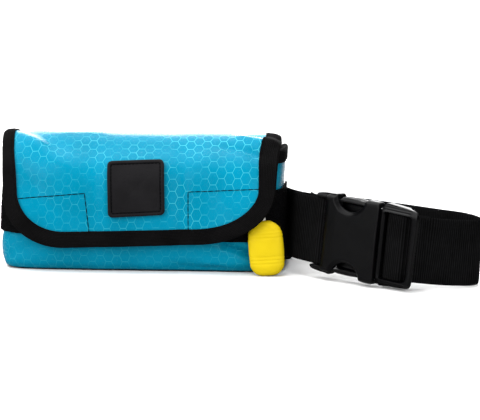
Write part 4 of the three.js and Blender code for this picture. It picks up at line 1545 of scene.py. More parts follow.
@dataclass
class Flap:
    """The flap with its binding and its sewing."""

    form: FlapForm
    finishes: Finishes
    columns: int = 150
    rows: int = 120
    tape: float = 0.8
    sewn_gap: float = 0.2
    tape_grid: tuple[int, int] = (26, 300)
    # how much of its bend's radius the tape stands out past the cloth's edge
    bend_share: float = 0.5
    box_reads: int = 30
    tape_reads: int = 500
    # from the tape's inner edge to its stitches
    stitch_margin: float = 1.3
    # share of the way round the free edge, width of the tape there
    tape_widths: Pairs = (
        (0.0, 7.4), (0.1, 6.2), (0.17, 6.0), (0.24, 7.2), (0.29, 8.2), (0.42, 8.4), (0.6, 8.5),
        (0.7, 8.8), (0.76, 9.3), (0.81, 10.3), (0.84, 9.6), (0.87, 8.0), (1.0, 7.6),
    )
    # stitch boxes by x and distance along the flap
    left_box: Pairs = ((-70.5, 97.9), (-32.0, 95.3), (-29.0, 119.0))
    right_box: Pairs = ((69.5, 93.9), (28.0, 95.0), (28.3, 119.0))

    def build(self) -> None:
        """Builds and dresses the flap, its binding and its thread."""
        self.sheet()
        self.binding()
        self.sewing()

    def sheet(self) -> None:
        """Builds the flap's cloth."""
        form = self.form

        def spots(across: Array, along: Array) -> tuple[Array, Array]:
            """Gives distances across and along the flat cloth.

            Args:
                across: shares across the cloth, 0 to 1.
                along: shares along the cloth, 0 to 1.

            Returns:
                Distances across and along.
            """
            distance = form.rows(along)
            left, right = form.edges(distance)
            return left + (right - left) * across, distance

        def place(across: Array, along: Array) -> Array:
            """Lays the cloth along its middle surface."""
            return form.middle(*spots(across, along))

        def flat(across: Array, along: Array) -> Array:
            """Gives places on the flat cloth, downwards from the back seam."""
            x, distance = spots(across, along)
            return np.stack([x, -distance], axis=1)

        piece = add_grid("flap_cloth", self.columns, self.rows, place, flat)
        merge_seam(piece, cap=False, distance=0.0005)
        apply_modifier(piece, "SOLIDIFY", thickness=form.cloth * MM, offset=0.0)
        smooth_faces(piece)
        finish_piece(piece, self.finishes.ripstop, ("flap",))

    def tape_spots(self, inset: Array, along: Array) -> tuple[Array, Array]:
        """Gives places on the flat cloth at a distance in from the free edge.

        Args:
            inset: distances in from the edge.
            along: shares along the edge.

        Returns:
            Distances across the flap and along it.
        """
        rim = self.form.rim()
        distance = along * rim.length
        point, run = rim.at(distance), rim.tangent(distance)
        return point[:, 0] + run[:, 1] * inset, point[:, 1] - run[:, 0] * inset

    def binding(self) -> None:
        """Builds the tape folded round the free edge."""
        form = self.form
        rim_length = form.rim().length
        radius = form.cloth / 2.0 + self.sewn_gap + self.tape / 2.0
        bend_length = math.pi * radius
        widths = TableCurve(self.tape_widths)
        around = 2.0 * float(widths.at(np.linspace(0.0, 1.0, 50)).mean()) + bend_length

        def place(across: Array, along: Array) -> Array:
            """Lays the tape's one arm on the front, bends it round the edge and lays the other behind.

            Args:
                across: shares across the cloth, 0 to 1.
                along: shares along the cloth, 0 to 1.

            Returns:
                The points, in millimetres.
            """
            arm = widths.at(along)[:, 0]
            s = across * (2.0 * arm + bend_length)
            bend = np.clip((s - arm) / radius, 0.0, math.pi)
            inside = np.maximum(np.maximum(arm - s, s - arm - bend_length), 0.0)
            inset = inside - radius * np.sin(bend) * self.bend_share
            x, distance = self.tape_spots(inset, along)
            return form.at(x, distance, radius * np.cos(bend))

        def flat(across: Array, along: Array) -> Array:
            """Gives places on the flat tape."""
            return np.stack([across * around, along * rim_length], axis=1)

        piece = lay_cloth("flap_tape", self.tape_grid, place, flat, self.tape)
        finish_piece(piece, self.finishes.tape, ("flap_binding",))

    def sewing(self) -> None:
        """Builds the stitch boxes on the cloth and the stitches along the tape."""
        form = self.form
        boxes = []
        share = np.linspace(0.0, 1.0, self.box_reads)
        for corners in (self.left_box, self.right_box):
            for (x0, along0), (x1, along1) in zip(corners, corners[1:]):
                x, along = x0 + (x1 - x0) * share, along0 + (along1 - along0) * share
                boxes.append((form.at(x, along, form.cloth / 2.0), form.normal(x, along)))
        box_stitch = Stitching("flap_box_stitches", length=4.1, pitch=3.5, width=0.55)
        box_stitch.build(boxes, self.finishes.dark_thread, Slot.TAPE)
        share = np.linspace(0.0, 1.0, self.tape_reads)
        inset = TableCurve(self.tape_widths).at(share)[:, 0] - self.stitch_margin
        x, along = self.tape_spots(inset, share)
        top = form.cloth / 2.0 + self.sewn_gap + self.tape
        line = (form.at(x, along, top), form.normal(x, along))
        Stitching("flap_tape_stitches", rise=0.02).build([line], self.finishes.dark_thread, Slot.TAPE)


@dataclass
class Badge:
    """The square moulded badge on the flap, with a raised rim and a bare field."""

    form: FlapForm
    finishes: Finishes
    side: float = 32.8
    tall: float = 31.7
    corner: float = 2.8
    least_corner: float = 0.35
    points: int = 128
    # the groove that its stitches lie in, as an inset and a height
    groove: Pair = (2.25, 1.25)
    x: float = -2.2
    z: float = 49.6
    turn_deg: float = 2.0
    sewn_gap: float = 0.4
    # inset from the outline and height of each ring, from the outline inwards
    steps: Pairs = (
        (0.0, 0.0), (0.0, 1.4), (0.15, 1.8), (0.55, 2.0), (1.5, 2.0), (1.8, 1.8), (1.9, 1.25),
        (2.6, 1.25), (2.75, 1.5), (5.0, 1.5), (9.0, 1.5), (13.0, 1.5), (15.6, 1.5),
    )

    def outline(self, inset: float, count: int) -> Array:
        """Gives the rounded square's points at an inset, evenly by angle.

        Args:
            inset: the distance in from the badge's outline.
            count: how many points.

        Returns:
            The points.
        """
        half = self.side / 2.0 - inset
        radius = max(self.corner - inset, self.least_corner)
        side = 2.0 * (half - radius)
        arc = radius * math.pi / 2.0
        corners = []
        share = np.arange(count // 4) / (count // 4)
        for k in range(4):
            s = share * (side + arc)
            bend = np.clip((s - side) / radius, 0.0, math.pi / 2.0)
            x = half - radius + radius * np.cos(bend)
            y = np.minimum(s, side) - side / 2.0 + radius * np.sin(bend)
            c, n = math.cos(k * math.pi / 2.0), math.sin(k * math.pi / 2.0)
            corners.append(np.stack([x * c - y * n, x * n + y * c], axis=1))
        return np.vstack(corners) * (1.0, (self.tall / 2.0 - inset) / half)

    def on_flap(self, flat: Array, height: Array | float) -> tuple[Array, Array]:
        """Gives the points and directions on the flap for places on the badge.

        Args:
            flat: places on the badge.
            height: heights over its underside.

        Returns:
            The points and the directions.
        """
        turn = math.radians(self.turn_deg)
        x = self.x + flat[:, 0] * math.cos(turn) - flat[:, 1] * math.sin(turn)
        y = flat[:, 0] * math.sin(turn) + flat[:, 1] * math.cos(turn)
        along = float(self.form.along_at(self.z)) - y
        base = self.form.cloth / 2.0 + self.sewn_gap
        return self.form.at(x, along, base + np.asarray(height)), self.form.normal(x, along)

    def build(self) -> None:
        """Builds the badge from a disc, inset ring by ring, and lays it on the flap."""
        count = self.points
        deselect()
        bpy.ops.mesh.primitive_circle_add(vertices=count, radius=self.side / 2.0 * MM, fill_type="NGON")
        piece = named("badge_rubber")
        edit(piece)
        bpy.ops.mesh.select_all(action="SELECT")
        for _ in self.steps[1:]:
            bpy.ops.mesh.inset(thickness=0.05 * MM)
        close_edit()
        points = np.zeros((len(piece.data.vertices), 3))
        for k, (inset, height) in enumerate(self.steps):
            ring = self.outline(inset, count)
            points[k * count : (k + 1) * count] = self.on_flap(ring, height)[0]
        set_points(piece, points)
        for vertex in piece.data.vertices:
            vertex.select = vertex.index >= len(points) - count
        bpy.ops.object.mode_set(mode="EDIT")
        bpy.ops.mesh.merge(type="CENTER")
        bpy.ops.mesh.select_all(action="DESELECT")
        bpy.ops.mesh.select_non_manifold()
        bpy.ops.mesh.edge_face_add()
        bpy.ops.mesh.select_all(action="SELECT")
        bpy.ops.mesh.normals_make_consistent(inside=False)
        close_edit()
        smooth_faces(piece, 35.0)
        finish_piece(piece, self.finishes.badge, ("badge",))
        inset, height = self.groove
        ring = self.outline(inset, count)
        ring = np.vstack([ring, ring[:1]])
        line = self.on_flap(ring, np.full(len(ring), height))
        stitch = Stitching("badge_stitches", length=1.6, pitch=2.2)
        stitch.build([line], self.finishes.dark_thread, Slot.TAPE)


@dataclass
class BeltRoute:
    """The belt's line: round the socket's bar, through the sleeve, round the far loop and to the plug."""

    pouch: PouchForm
    buckle_place: Triple = (109.2, -38.7, 27.4)
    heading_deg: float = -34.0
    pitch_deg: float = 3.3
    lean_deg: float = 5.0
    socket_bar: float = -4.6
    wrap_radius: float = 3.3
    wrap_steps: int = 7
    # along the buckle and out of its front
    socket_return: Pairs = ((-21, -8), (-15.5, -4.6), (-10, -3.2))
    socket_front: Pairs = ((-9.5, 2.6), (-17.5, 2.2), (-25.0, 0.0))
    plug_tail: Pairs = (
        (62, -12.2), (57, -8.8), (52, -6.4), (48.5, -5.5), (46, -5), (44.1, -3.6), (43.3, -1.6),
        (43.2, 0), (43.55, 1.6), (44.8, 2.4), (49.2, 2.6), (53.6, 2.4), (54.9, 1.6), (55.4, 0.2),
        (56.6, -1.2), (58.6, -3.2), (62, -6.4), (66, -9.6),
    )
    # x, y, height and lean of the strap's top edge along x
    loop: tuple[Four, ...] = (
        (177.6, -64, 21.4, 0.04), (186.4, -60.4, 20.5, 0.03), (193, -57, 19.9, 0.05),
        (196.6, -51.4, 19.7, 0.07), (194.6, -45.4, 19.7, 0.04), (188, -40.6, 20.8, 0),
        (173, -30.4, 20.8, 0), (148, -14, 20.8, 0), (120, 3, 20.8, 0), (98, 16.6, 19.7, 0),
        (89, 24, 19.7, 0), (83, 31, 19.7, 0), (77, 38.4, 19.7, 0), (70, 50, 19.7, 0),
        (66, 66, 19.7, 0), (65, 90, 19.7, 0), (57, 120, 19.7, 0), (34, 143, 19.7, 0),
        (0, 152, 19.7, 0), (-34, 143, 19.7, 0), (-57, 120, 19.7, 0), (-68, 90, 19.7, 0),
        (-74, 66, 19.8, 0), (-76, 50, 20.2, 0), (-70.5, 36.4, 20.7, 0),
    )
    # turns round the pouch on both sides of the back's middle, and how many
    back_left: tuple[float, float, int] = (0.75, 1.0, 60)
    back_right: tuple[float, float, int] = (0.0, 0.3, 70)
    # the belt runs through every so many of them
    back_stride: int = 4
    sleeve_level: float = 24.0
    sleeve_left_x: float = -62.0
    sleeve_leave: Pair = (0.5, -0.86)
    sleeve_turn: float = 2.0
    sleeve_tab: float = 3.0
    belt_offset: float = 1.4
    # the belt's height at the sleeve's right end and at its left end
    belt_levels: Pair = (23.2, 20.9)

    def __post_init__(self) -> None:
        """Works out the buckle's axes and the line along the back."""
        heading, lean, pitch = (math.radians(d) for d in (self.heading_deg, self.lean_deg, self.pitch_deg))
        level = np.array([math.sin(heading), -math.cos(heading), 0.0])
        ahead = np.array([math.cos(heading), math.sin(heading), 0.0])
        leant = np.array([0.0, 0.0, math.cos(lean)]) - level * math.sin(lean)
        self.along = ahead * math.cos(pitch) - leant * math.sin(pitch)
        self.up = leant * math.cos(pitch) + ahead * math.sin(pitch)
        self.out = np.cross(self.along, self.up)
        self.origin = np.array(self.buckle_place)
        self.back, self.back_out = self.back_line()

    def back_line(self) -> tuple[Array, Array]:
        """Gives the line of the sleeve along the back, left to right, and its outward directions.

        Returns:
            The line's points and the directions.
        """
        turn = np.concatenate([np.linspace(*self.back_left, endpoint=False), np.linspace(*self.back_right)])
        level = np.full_like(turn, self.sleeve_level)
        points, outs = self.pouch.point(turn, level), self.pouch.normal(turn, level)
        outs[:, 2] = 0.0
        outs = unit(outs)
        leave = np.array([*self.sleeve_leave, 0.0]) / np.hypot(*self.sleeve_leave)
        side = np.array([-leave[1], leave[0], 0.0])
        kept = (points[:, 0] > self.sleeve_left_x) & (outs[:, 1] > side[1]) & (points[:, 1] > 0)
        points, outs = points[kept], outs[kept]
        reaches = (self.sleeve_turn, self.sleeve_turn + self.sleeve_tab)
        ends = [points[-1] + leave * reach for reach in reaches]
        return np.vstack([points, *ends]), np.vstack([outs, side, side])

    def on_buckle(self, along: float, height: float) -> Array:
        """Gives the point at a place along the buckle and a height out of its front."""
        return self.origin + self.along * along + self.out * height

    def controls(self) -> tuple[Array, Array]:
        """Gives the strap's points from the socket to the plug's tail, and its width direction at each.

        Returns:
            The points and the width directions.
        """
        rows = list(self.socket_return)
        for k in range(self.wrap_steps + 1):
            angle = -math.pi / 2.0 + k / self.wrap_steps * math.pi
            ahead, height = self.wrap_radius * math.cos(angle), self.wrap_radius * math.sin(angle)
            rows.append((self.socket_bar + ahead, height))
        rows += self.socket_front
        points = [self.on_buckle(*row) for row in rows]
        ups = [self.up] * len(points)
        spots = (self.back + self.back_out * self.belt_offset)[:: -self.back_stride]
        spots[:, 2] = np.linspace(*self.belt_levels, len(spots))
        points += list(spots)
        ups += [np.array([0.0, 0.0, 1.0])] * len(spots)
        for x, y, z, lean in reversed(self.loop):
            points.append(np.array([x, y, z]))
            ups.append(np.array([lean, 0.0, 1.0]))
        tail = [self.on_buckle(*row) for row in reversed(self.plug_tail)]
        return np.array(points + tail), np.array(ups + [self.up] * len(tail))


@dataclass
class Belt:
    """The ribbed webbing belt and the sleeve that it runs through on the back."""

    route: BeltRoute
    finishes: Finishes
    width: float = 38.4
    thick: float = 1.8
    rib: float = 1.26
    rib_depth: float = 0.22
    rows_in_rib: int = 4
    faces_round: int = 20
    # how square the strap's section is, over its width and over its thickness
    squareness: Pair = (0.28, 0.6)
    edge_depth: float = 0.12
    sleeve_grid: tuple[int, int] = (40, 120)
    sleeve_cloth: float = 1.4
    # height over the pouch and level, from the top hem to the bottom hem
    sleeve_section: Pairs = (
        (1.0, 42.2), (1.05, 41.6), (2.4, 41.5), (3.45, 41.2), (3.6, 39.5), (3.6, 20.0), (3.6, 2.4),
        (3.4, 1.1), (2.2, 0.9), (0.5, 0.9),
    )

    def build(self) -> None:
        """Builds and dresses the belt and the sleeve."""
        self.strap()
        self.sleeve()

    def strap(self) -> None:
        """Builds the strap: a flat tube along its route with a rib for each thick thread."""
        points, ups = self.route.controls()
        path = SmoothPath(points, steps=24)
        up_table = path.spread(ups)
        ribs = int(path.length / self.rib)
        half = self.thick / 2.0

        def place(across: Array, along: Array) -> Array:
            """Lays the strap's section, ribbed, along its route.

            Args:
                across: shares across the cloth, 0 to 1.
                along: shares along the cloth, 0 to 1.

            Returns:
                The points, in millimetres.
            """
            distance = along * path.length
            run = path.tangent(distance)
            up = path.read(distance, up_table)
            up = unit(up - run * np.sum(up * run, axis=1, keepdims=True))
            out = np.cross(run, up)
            crest = np.abs(np.cos(math.pi * along * ribs))
            turn = across * 2.0 * math.pi
            sides = zip((np.cos(turn), np.sin(turn)), self.squareness)
            wide, deep = (np.sign(value) * np.abs(value) ** power for value, power in sides)
            height = half - self.rib_depth * (1.0 - crest)
            edge = self.width / 2.0 - self.edge_depth * (1.0 - crest)
            return path.at(distance) + up * (wide * edge)[:, None] + out * (deep * height)[:, None]

        def flat(across: Array, along: Array) -> Array:
            """Gives places on the flat strap."""
            wide = np.cos(across * 2.0 * math.pi) * self.width / 2.0
            return np.stack([wide, (along * ribs) * self.rib], axis=1)

        piece = add_grid("belt_webbing", self.faces_round, ribs * self.rows_in_rib, place, flat)
        merge_seam(piece, cap=True)
        smooth_faces(piece, 60.0)
        finish_piece(piece, self.finishes.webbing, ("belt",))

    def sleeve(self) -> None:
        """Builds the sleeve: a shallow tunnel of cloth along the back."""
        line = SmoothPath(self.route.back, steps=6)
        out_table = line.spread(self.route.back_out)
        section = SmoothPath([(h, z, 0.0) for h, z in self.sleeve_section], steps=12)

        def place(across: Array, along: Array) -> Array:
            """Lays the sleeve's section along the back.

            Args:
                across: shares across the cloth, 0 to 1.
                along: shares along the cloth, 0 to 1.

            Returns:
                The points, in millimetres.
            """
            distance = along * line.length
            spot = section.at(across * section.length)
            point = line.at(distance) + unit(line.read(distance, out_table)) * spot[:, :1]
            point[:, 2] = spot[:, 1]
            return point

        def flat(across: Array, along: Array) -> Array:
            """Gives places on the flat sleeve."""
            return np.stack([across * section.length, along * line.length], axis=1)

        piece = lay_cloth("belt_sleeve_cloth", self.sleeve_grid, place, flat, self.sleeve_cloth)
        finish_piece(piece, self.finishes.sleeve, ("belt_sleeve",))


@dataclass
class PullToggle:
    """The yellow moulded pull and its white cord."""

    finishes: Finishes
    foot: Triple = (74.3, -34.1, 0.1)
    lean: Pair = (-0.079, 0.03)
    squareness: float = 2.6
    # height, half width, half thickness
    sections: Triples = (
        (0, 2.6, 1.4), (0.7, 5.4, 2.7), (2.2, 7.6, 3.7), (5, 9.5, 4.2), (8, 10.1, 4.3),
        (24, 10.0, 3.8), (27, 9.1, 3.3), (29.3, 7.4, 2.8), (31, 5.2, 2.3), (31.9, 3.2, 1.8),
        (32.3, 1.8, 1.4),
    )
    grooves: tuple[float, ...] = (7.4, 9.4, 11.4, 22.4, 24.4, 26.4)
    groove_depth: float = 0.2
    groove_width: float = 0.5
    cord_diameter: float = 2.2
    cord_points: int = 32
    # from the toggle's top up under the flap and over the rim into the mouth
    cord_route: Triples = (
        (71.7, -33.4, 32.4), (71, -33, 36), (68.2, -31, 42), (66, -29.6, 47.5), (64.6, -27.3, 53.5),
        (64, -24.8, 59), (63.6, -23.3, 62.4), (63.3, -20.5, 65.9), (63, -15, 66.6),
        (62.8, -11.9, 63.6), (62.7, -10.9, 56),
    )

    def build(self) -> None:
        """Builds and dresses the toggle and the cord."""
        toggle = self.toggle()
        self.cord(toggle)

    def toggle(self) -> Piece:
        """Builds the toggle from a sphere drawn out to its sections.

        Returns:
            The object.
        """
        deselect()
        bpy.ops.mesh.primitive_uv_sphere_add(segments=72, ring_count=64, radius=1.0)
        piece = named("toggle_grip")
        ball = get_points(piece) * MM
        up = np.array([*self.lean, 1.0]) / np.linalg.norm([*self.lean, 1.0])
        across = unit(np.array([[1.0, 0.0, 0.0]]) - up * up[0])[0]
        deep = np.cross(up, across)
        table = TableCurve(self.sections)
        tall = self.sections[-1][0]
        level = (np.arcsin(np.clip(ball[:, 2], -1, 1)) / math.pi + 0.5) * tall
        half_width, half_thick = table.at(level).T
        reach = np.hypot(ball[:, 0], ball[:, 1])
        angle = np.arctan2(ball[:, 1], ball[:, 0])
        power = 2.0 / self.squareness
        bulge = [np.sign(v) * np.abs(v) ** power for v in (np.cos(angle), np.sin(angle))]
        dips = (np.exp(-(((level - at) / self.groove_width) ** 2)) for at in self.grooves)
        groove = sum(dips) * self.groove_depth
        pole = np.where(reach < TINY, 0.0, 1.0)
        points = np.array(self.foot) + up * level[:, None]
        points = points + across * (pole * (half_width - groove) * bulge[0])[:, None]
        points = points + deep * (pole * (half_thick - groove) * bulge[1])[:, None]
        points[:, 2] = np.maximum(points[:, 2], self.foot[2])
        set_points(piece, points)
        smooth_faces(piece, 50.0)
        finish_piece(piece, self.finishes.toggle, ("pull_toggle",))
        return piece

    def cord(self, toggle: Piece) -> None:
        """Builds the cord as one curve along its route.

        Args:
            toggle: the piece at the cord's end; not used.
        """
        path = SmoothPath(self.cord_route)
        curve = bpy.data.curves.new("toggle_cord", "CURVE")
        curve.dimensions = "3D"
        curve.bevel_depth = self.cord_diameter / 2.0 * MM
        curve.bevel_resolution = 4
        curve.use_fill_caps = True
        points = path.at(np.linspace(path.length, 0.0, self.cord_points)) * MM
        spline = curve.splines.new("POLY")
        spline.points.add(len(points) - 1)
        for spot, point in zip(spline.points, points):
            spot.co = (*point, 1.0)
        piece = bpy.data.objects.new("toggle_cord", curve)
        bpy.context.collection.objects.link(piece)
        finish_piece(piece, self.finishes.cord, ("pull_cord",))


@dataclass
class Buckle:
    """The fastened side-release buckle, modelled flat along its own axes and then set on the belt."""

    route: BeltRoute
    finishes: Finishes
    voxel: float = 0.36
    smoothing: int = 7
    kept_share: float = 0.4
    # along the buckle, across it, and how far each corner is rounded
    socket_left: Triple = (0.0, -22.4, 3.0)
    socket_right: Triple = (39.0, -24.0, 4.0)
    socket_back: float = 0.4
    socket_half_thick: float = 6.25
    lug_outline: Triples = (
        (7, 19.6, 1),
        (7, 23.4, 2.6),
        (-3.5, 22.9, 4),
        (-7.9, 21.9, 1.2),
        (-7.9, 19.6, 0.8),
    )
    lug_half_thick: float = 5.0
    bar_along: float = -4.6
    bar_half: float = 21.0
    bar_radius: float = 2.0
    scoop_along: float = 17.6
    scoop_across: float = 24.6
    scoop_half: float = 10.2
    scoop_depth: float = 9.6
    scoop_depth_behind: float = 6.8
    scoop_tip: Triple = (10.9, 23.8, 1.9)
    lip_width: float = 2.1
    lip_depth: float = 1.7
    cavity: Four = (3.0, 40.0, 20.75, 4.0)
    face_roll: Pair = (4.0, 1.3)
    edge_round: Pair = (2.6, 2.0)
    face_crown: float = 0.8
    half_wide: float = 24.0
    # where the face's roll ends across it and its crown grows along it, and how high both start
    roll_end: Pair = (18.5, 20.5)
    crown_start: Pair = (0.0, 10.0)
    face_level: Pair = (3.4, 5.0)
    plug_outline: Triples = (
        (39.2, -24, 1.4),
        (63.6, -22.4, 5),
        (65.4, 22.4, 6),
        (39.2, 24, 1.4),
    )
    plug_half_thick: float = 4.5
    window: Triple = (41.0, 61.5, 19.4)
    window_round: tuple[float, ...] = (2.0, 6.0, 2.6, 2.0)
    # length and height of the frame's sloping back
    back_cut: Pairs = ((51, -6), (70, -6), (70, 1.6), (62, 1.4), (60.4, 0.6))
    belt_bar: Four = (44.4, 54.0, -2.0, 0.9)
    guide: Four = (20.0, 40.6, 3.0, 3.0)
    # the plug's root inside the socket's mouth
    throat: Four = (35.0, 41.6, 20.2, 3.5)
    arm_outline: Pairs = (
        (41, 9.5), (41, 16), (34, 17.6), (27.4, 20.2), (25.6, 22), (17.6, 22.6), (10.4, 22.3),
        (8.4, 20.4), (8.4, 13.4), (26, 12.4), (34, 9.5),
    )
    arm_half_thick: float = 4.2
    arm_end: Pair = (29.0, 31.0)
    arm_ridge: Pair = (18.4, 20.2)
    arm_hollow: float = 4.4
    arm_bevel: float = 2.0
    rib_spread: float = 1.1
    rib_width: float = 0.5
    rib_depth: float = 0.55
    # from where the ribs, the rails and the flutes reach, and how deep the frame and the arms are shaped
    rib_start: Pair = (21.0, 22.0)
    rail_start: Pair = (39.0, 39.6)
    flute_end: Pair = (57.5, 60.5)
    frame_level: Pair = (0.6, 4.0)
    arm_level: Pair = (0.6, 2.6)
    bevel_reach: float = 3.2
    slope_reach: float = 26.0
    overlap: float = 1.0
    rail_round: float = 4.0
    flutes: tuple[float, ...] = (20.6, 21.9, 23.2)
    flute_width: float = 0.42
    flute_depth: float = 0.6

    def build(self) -> None:
        """Builds and dresses the socket and the plug."""
        self.dress(self.socket(), "buckle_socket")
        self.dress(self.plug(), "buckle_plug")

    def dress(self, piece: Piece, node: str) -> None:
        """Sets a finished half on the belt and gives it its finish.

        Args:
            piece: the object.
            node: the CAD node that it stands for.
        """
        local, route = get_points(piece), self.route
        axes = np.stack([route.along, route.up, route.out])
        set_points(piece, route.origin + local @ axes)
        smooth_faces(piece, 60.0)
        finish_piece(piece, self.finishes.buckle, (node,))

    def mould(self, piece: Piece) -> Array:
        """Melts a half's solids into one with soft edges, and gives its points.

        Args:
            piece: the object.

        Returns:
            The points, along the buckle's own axes.
        """
        apply_modifier(piece, "REMESH", mode="VOXEL", voxel_size=self.voxel * MM)
        apply_modifier(piece, "SMOOTH", factor=0.5, iterations=self.smoothing)
        return get_points(piece)

    def socket_outline(self, depth: float) -> Array:
        """Gives the socket's outline with a thumb scoop of some depth in each side.

        Args:
            depth: how deep the scoop is.

        Returns:
            The outline's points.
        """
        turn = np.radians(np.linspace(165.0, 15.0, 26))
        along = self.scoop_along + self.scoop_half * np.cos(turn)
        across = depth * np.sin(turn) - self.scoop_across
        reach, tip, off = self.scoop_tip
        corners = [self.socket_left, (self.scoop_along - reach, -tip, off)]
        corners += [(a, b, 0.0) for a, b in zip(along, across)]
        corners += [(self.scoop_along + reach, -tip, off), self.socket_right]
        closed = corners + [(a, -b, off) for a, b, off in reversed(corners)]
        return rounded(closed)

    def socket(self) -> Piece:
        """Builds the socket: a hollow shell with a scoop in each side and a bar for the belt.

        Returns:
            The socket, along the buckle's own axes.
        """
        half = self.socket_half_thick
        plates = [
            add_plate("socket_shell", self.socket_outline(self.scoop_depth), -self.socket_back, half),
            add_plate("socket_back", self.socket_outline(self.scoop_depth_behind), -half, self.socket_back),
        ]
        left, right, wide, deep = self.cavity
        for plate in plates:
            cut(plate, add_plate("cavity_tool", box_outline(left, right, wide), -deep, deep))
        lug = rounded(self.lug_outline)
        thick = self.lug_half_thick
        plates += [add_plate("lug", side, -thick, thick) for side in (lug, mirrored(lug))]
        deselect()
        bpy.ops.mesh.primitive_cylinder_add(
            vertices=24,
            radius=self.bar_radius * MM,
            depth=2.0 * self.bar_half * MM,
            location=(self.bar_along * MM, 0.0, 0.0),
            rotation=(math.pi / 2.0, 0.0, 0.0),
        )
        bar = bpy.context.object
        bpy.ops.object.transform_apply(location=True, rotation=True, scale=True)
        piece = join([*plates, bar])
        points = self.mould(piece)
        u, v, w = points.T
        reach, drop = self.face_roll
        middle = 1.0 - smooth_step(np.abs(v), *self.roll_end)
        rolled = drop * np.clip(1.0 - u / reach, 0.0, 1.0) ** 2 * middle
        crown = self.face_crown * (1.0 - (v / self.half_wide) ** 2) * smooth_step(u, *self.crown_start)
        ahead = (u - self.scoop_along) / self.scoop_half
        spread = np.hypot(ahead, (self.scoop_across - np.abs(v)) / self.scoop_depth)
        lip = np.clip(1.0 - (spread - 1.0) * self.scoop_depth / self.lip_width, 0.0, 1.0)
        wide, drop = self.edge_round
        ends = np.array([self.socket_left, self.socket_right])
        outer = np.interp(u, ends[:, 0], -ends[:, 1])
        edge = drop * np.clip((np.abs(v) - outer + wide) / wide, 0.0, 1.0) ** 2
        change = crown - rolled - np.maximum(self.lip_depth * lip, edge)
        points[:, 2] += smooth_step(w, *self.face_level) * change
        set_points(piece, points)
        apply_modifier(piece, "DECIMATE", ratio=self.kept_share)
        return piece

    def plug(self) -> Piece:
        """Builds the plug: a fluted frame with a bar for the belt, two springy arms and a guide.

        Returns:
            The plug, along the buckle's own axes.
        """
        half = self.plug_half_thick
        body = add_plate("plug_frame", rounded(self.plug_outline, 10), -half, half)
        left, right, wide = self.window
        corners = [(*corner, off) for corner, off in zip(box_outline(left, right, wide), self.window_round)]
        past = half + self.overlap
        cut(body, add_plate("window_tool", rounded(corners), -past, past))
        slope = add_plate("slope_tool", np.array(self.back_cut), -self.slope_reach, self.slope_reach)
        turned = get_points(slope)
        set_points(slope, np.column_stack([turned[:, 0], -turned[:, 2], turned[:, 1]]))
        cut(body, slope)
        start, end, back, front = self.belt_bar
        parts = [add_plate("belt_bar", box_outline(start, end, wide + self.overlap), back, front)]
        for tip, root, half_wide, half_deep in (self.guide, self.throat):
            parts.append(add_plate("guide", box_outline(tip, root, half_wide), -half_deep, half_deep))
        arm = np.array(self.arm_outline)
        thick = self.arm_half_thick
        parts += [add_plate("arm", side, -thick, thick) for side in (arm, mirrored(arm))]
        piece = join([body, *parts])
        points = self.mould(piece)
        u, v, w = points.T
        on_frame = smooth_step(u, *self.rail_start)
        rail = np.clip((np.abs(v) - wide) / (self.half_wide - wide), 0.0, 1.0) * on_frame
        flute = sum(np.exp(-(((np.abs(v) - f) / self.flute_width) ** 2)) for f in self.flutes)
        flute = flute * on_frame * (1.0 - smooth_step(u, *self.flute_end))
        change = self.rail_round * rail + self.flute_depth * flute
        points[:, 2] -= smooth_step(w, *self.frame_level) * change
        start, end = self.arm_end
        on_arm = 1.0 - smooth_step(u, start, end)
        inner, outer = self.arm_ridge
        hollow = self.arm_hollow * (1.0 - smooth_step(np.abs(v), inner, outer))
        bevel = self.arm_bevel * np.clip((np.abs(v) - outer) / (wide + self.bevel_reach - outer), 0.0, 1.0)
        points[:, 2] -= smooth_step(w, *self.arm_level) * on_arm * (hollow + bevel)
        ribs = np.exp(-((np.abs(w) - self.rib_spread) ** 2) / self.rib_width**2)
        on_side = smooth_step(np.abs(v), *self.rib_start)
        points[:, 1] -= np.sign(v) * on_arm * on_side * self.rib_depth * ribs
        set_points(piece, points)
        apply_modifier(piece, "DECIMATE", ratio=self.kept_share)
        return piece


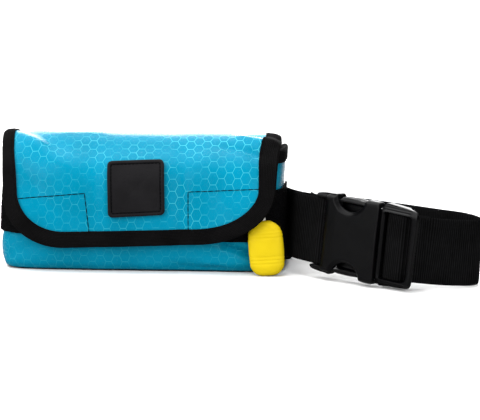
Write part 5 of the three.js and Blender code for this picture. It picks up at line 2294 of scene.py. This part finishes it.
@dataclass
class Studio:
    """The floor, the soft light and the camera."""

    target: Triple = (54.6, 10.0, 29.8)
    azimuth_deg: float = 4.4
    elevation_deg: float = 11.0
    distance: float = 4000.0
    pixels_per_mm: float = 1.72
    sensor: float = 36.0
    clip: Pair = (0.05, 50.0)
    floor_size: float = 9.0
    # roughness and specular level, the greys of its specks, and how fine these are
    floor_gloss: Pair = (0.6, 0.2)
    floor_greys: Pair = (0.95, 0.97)
    speck_scale: float = 90.0
    # how much of its light the floor throws back on the pack
    bounce: float = 0.34
    # from the dark room in front to the bright wall behind
    room: Four = (-0.5, 0.4, 0.42, 1.0)
    lamps: tuple[tuple[str, Triple, float, float], ...] = (
        ("overhead", (-0.15, 0.15, 1.6), 2.0, 58.0),
        ("behind", (-0.2, 2.0, 0.7), 1.6, 58.0),
        ("front_left", (-1.5, -1.5, 1.1), 1.9, 62.0),
        ("front_right", (1.1, -1.7, 0.8), 1.9, 32.0),
    )

    def build(self) -> None:
        """Builds the camera, the lights and the floor."""
        self.camera()
        self.lights()
        self.floor()

    def camera(self) -> None:
        """Sets the camera at the photograph's angle."""
        azimuth, elevation = math.radians(self.azimuth_deg), math.radians(self.elevation_deg)
        level = math.cos(elevation)
        back = Vector((math.sin(azimuth) * level, -math.cos(azimuth) * level, math.sin(elevation)))
        data = bpy.data.cameras.new("camera")
        data.sensor_width = self.sensor
        data.lens = self.sensor * self.distance * self.pixels_per_mm / IMAGE_WIDTH
        data.clip_start, data.clip_end = self.clip
        camera = bpy.data.objects.new("camera", data)
        camera.location = (Vector(self.target) + back * self.distance) * MM
        camera.rotation_mode = "QUATERNION"
        camera.rotation_quaternion = (-back).to_track_quat("-Z", "Y")
        bpy.context.collection.objects.link(camera)
        bpy.context.scene.camera = camera

    def light(self, name: str, place: Triple, size: float, watts: float) -> None:
        """Adds one square soft light that faces the pack.

        Args:
            name: its name.
            place: where it hangs, in metres.
            size: the length of its side, in metres.
            watts: its power.
        """
        data = bpy.data.lights.new(name, "AREA")
        data.size = size
        data.energy = watts
        lamp = bpy.data.objects.new(name, data)
        lamp.location = place
        aim = Vector(self.target) * MM - Vector(place)
        lamp.rotation_mode = "QUATERNION"
        lamp.rotation_quaternion = aim.to_track_quat("-Z", "Y")
        bpy.context.collection.objects.link(lamp)

    def lights(self) -> None:
        """Lights the pack from above and from the front, before a bright wall."""
        bpy.context.scene.view_settings.view_transform = "Standard"
        world = bpy.data.worlds.new("studio")
        bpy.context.scene.world = world
        world.use_nodes = True
        board = NodeBoard(world.node_tree)
        shade = next(n for n in world.node_tree.nodes if n.type == "BACKGROUND")
        way = board.parts(board.node("ShaderNodeTexCoord").outputs["Generated"])
        room = board.ramp(way["Y"], *self.room)
        seen = board.node("ShaderNodeLightPath").outputs["Is Camera Ray"]
        board.feed(shade.inputs["Strength"], board.math("MAXIMUM", room, seen))
        for name, place, size, watts in self.lamps:
            self.light(name, place, size, watts)

    def floor(self) -> None:
        """Lays a plain pale floor."""
        deselect()
        bpy.ops.mesh.primitive_plane_add(size=self.floor_size)
        floor = named("floor")
        look = Look("pale_floor", *self.floor_gloss)
        dull, pale, paler = ((grey, grey, grey, 1.0) for grey in (self.bounce, *self.floor_greys))
        specks = look.mix(look.noise(look.place, self.speck_scale), pale, paler)
        seen = look.node("ShaderNodeLightPath").outputs["Is Camera Ray"]
        look.feed(look.shader.inputs["Base Color"], look.mix(seen, dull, specks))
        floor.data.materials.append(look.material)


def main() -> None:
    logging.basicConfig(level=logging.INFO, format="%(name)s %(message)s")
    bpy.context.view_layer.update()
    pouch_form = PouchForm(folds=POUCH_FOLDS)
    flap_form = FlapForm(folds=FLAP_FOLDS)
    route = BeltRoute(pouch_form)
    Studio().build()
    finishes = Finishes(Effects())
    PullToggle(finishes).build()
    Pouch(pouch_form, finishes).build()
    Flap(flap_form, finishes).build()
    Badge(flap_form, finishes).build()
    Belt(route, finishes).build()
    Buckle(route, finishes).build()


if __name__ == "__main__":
    main()
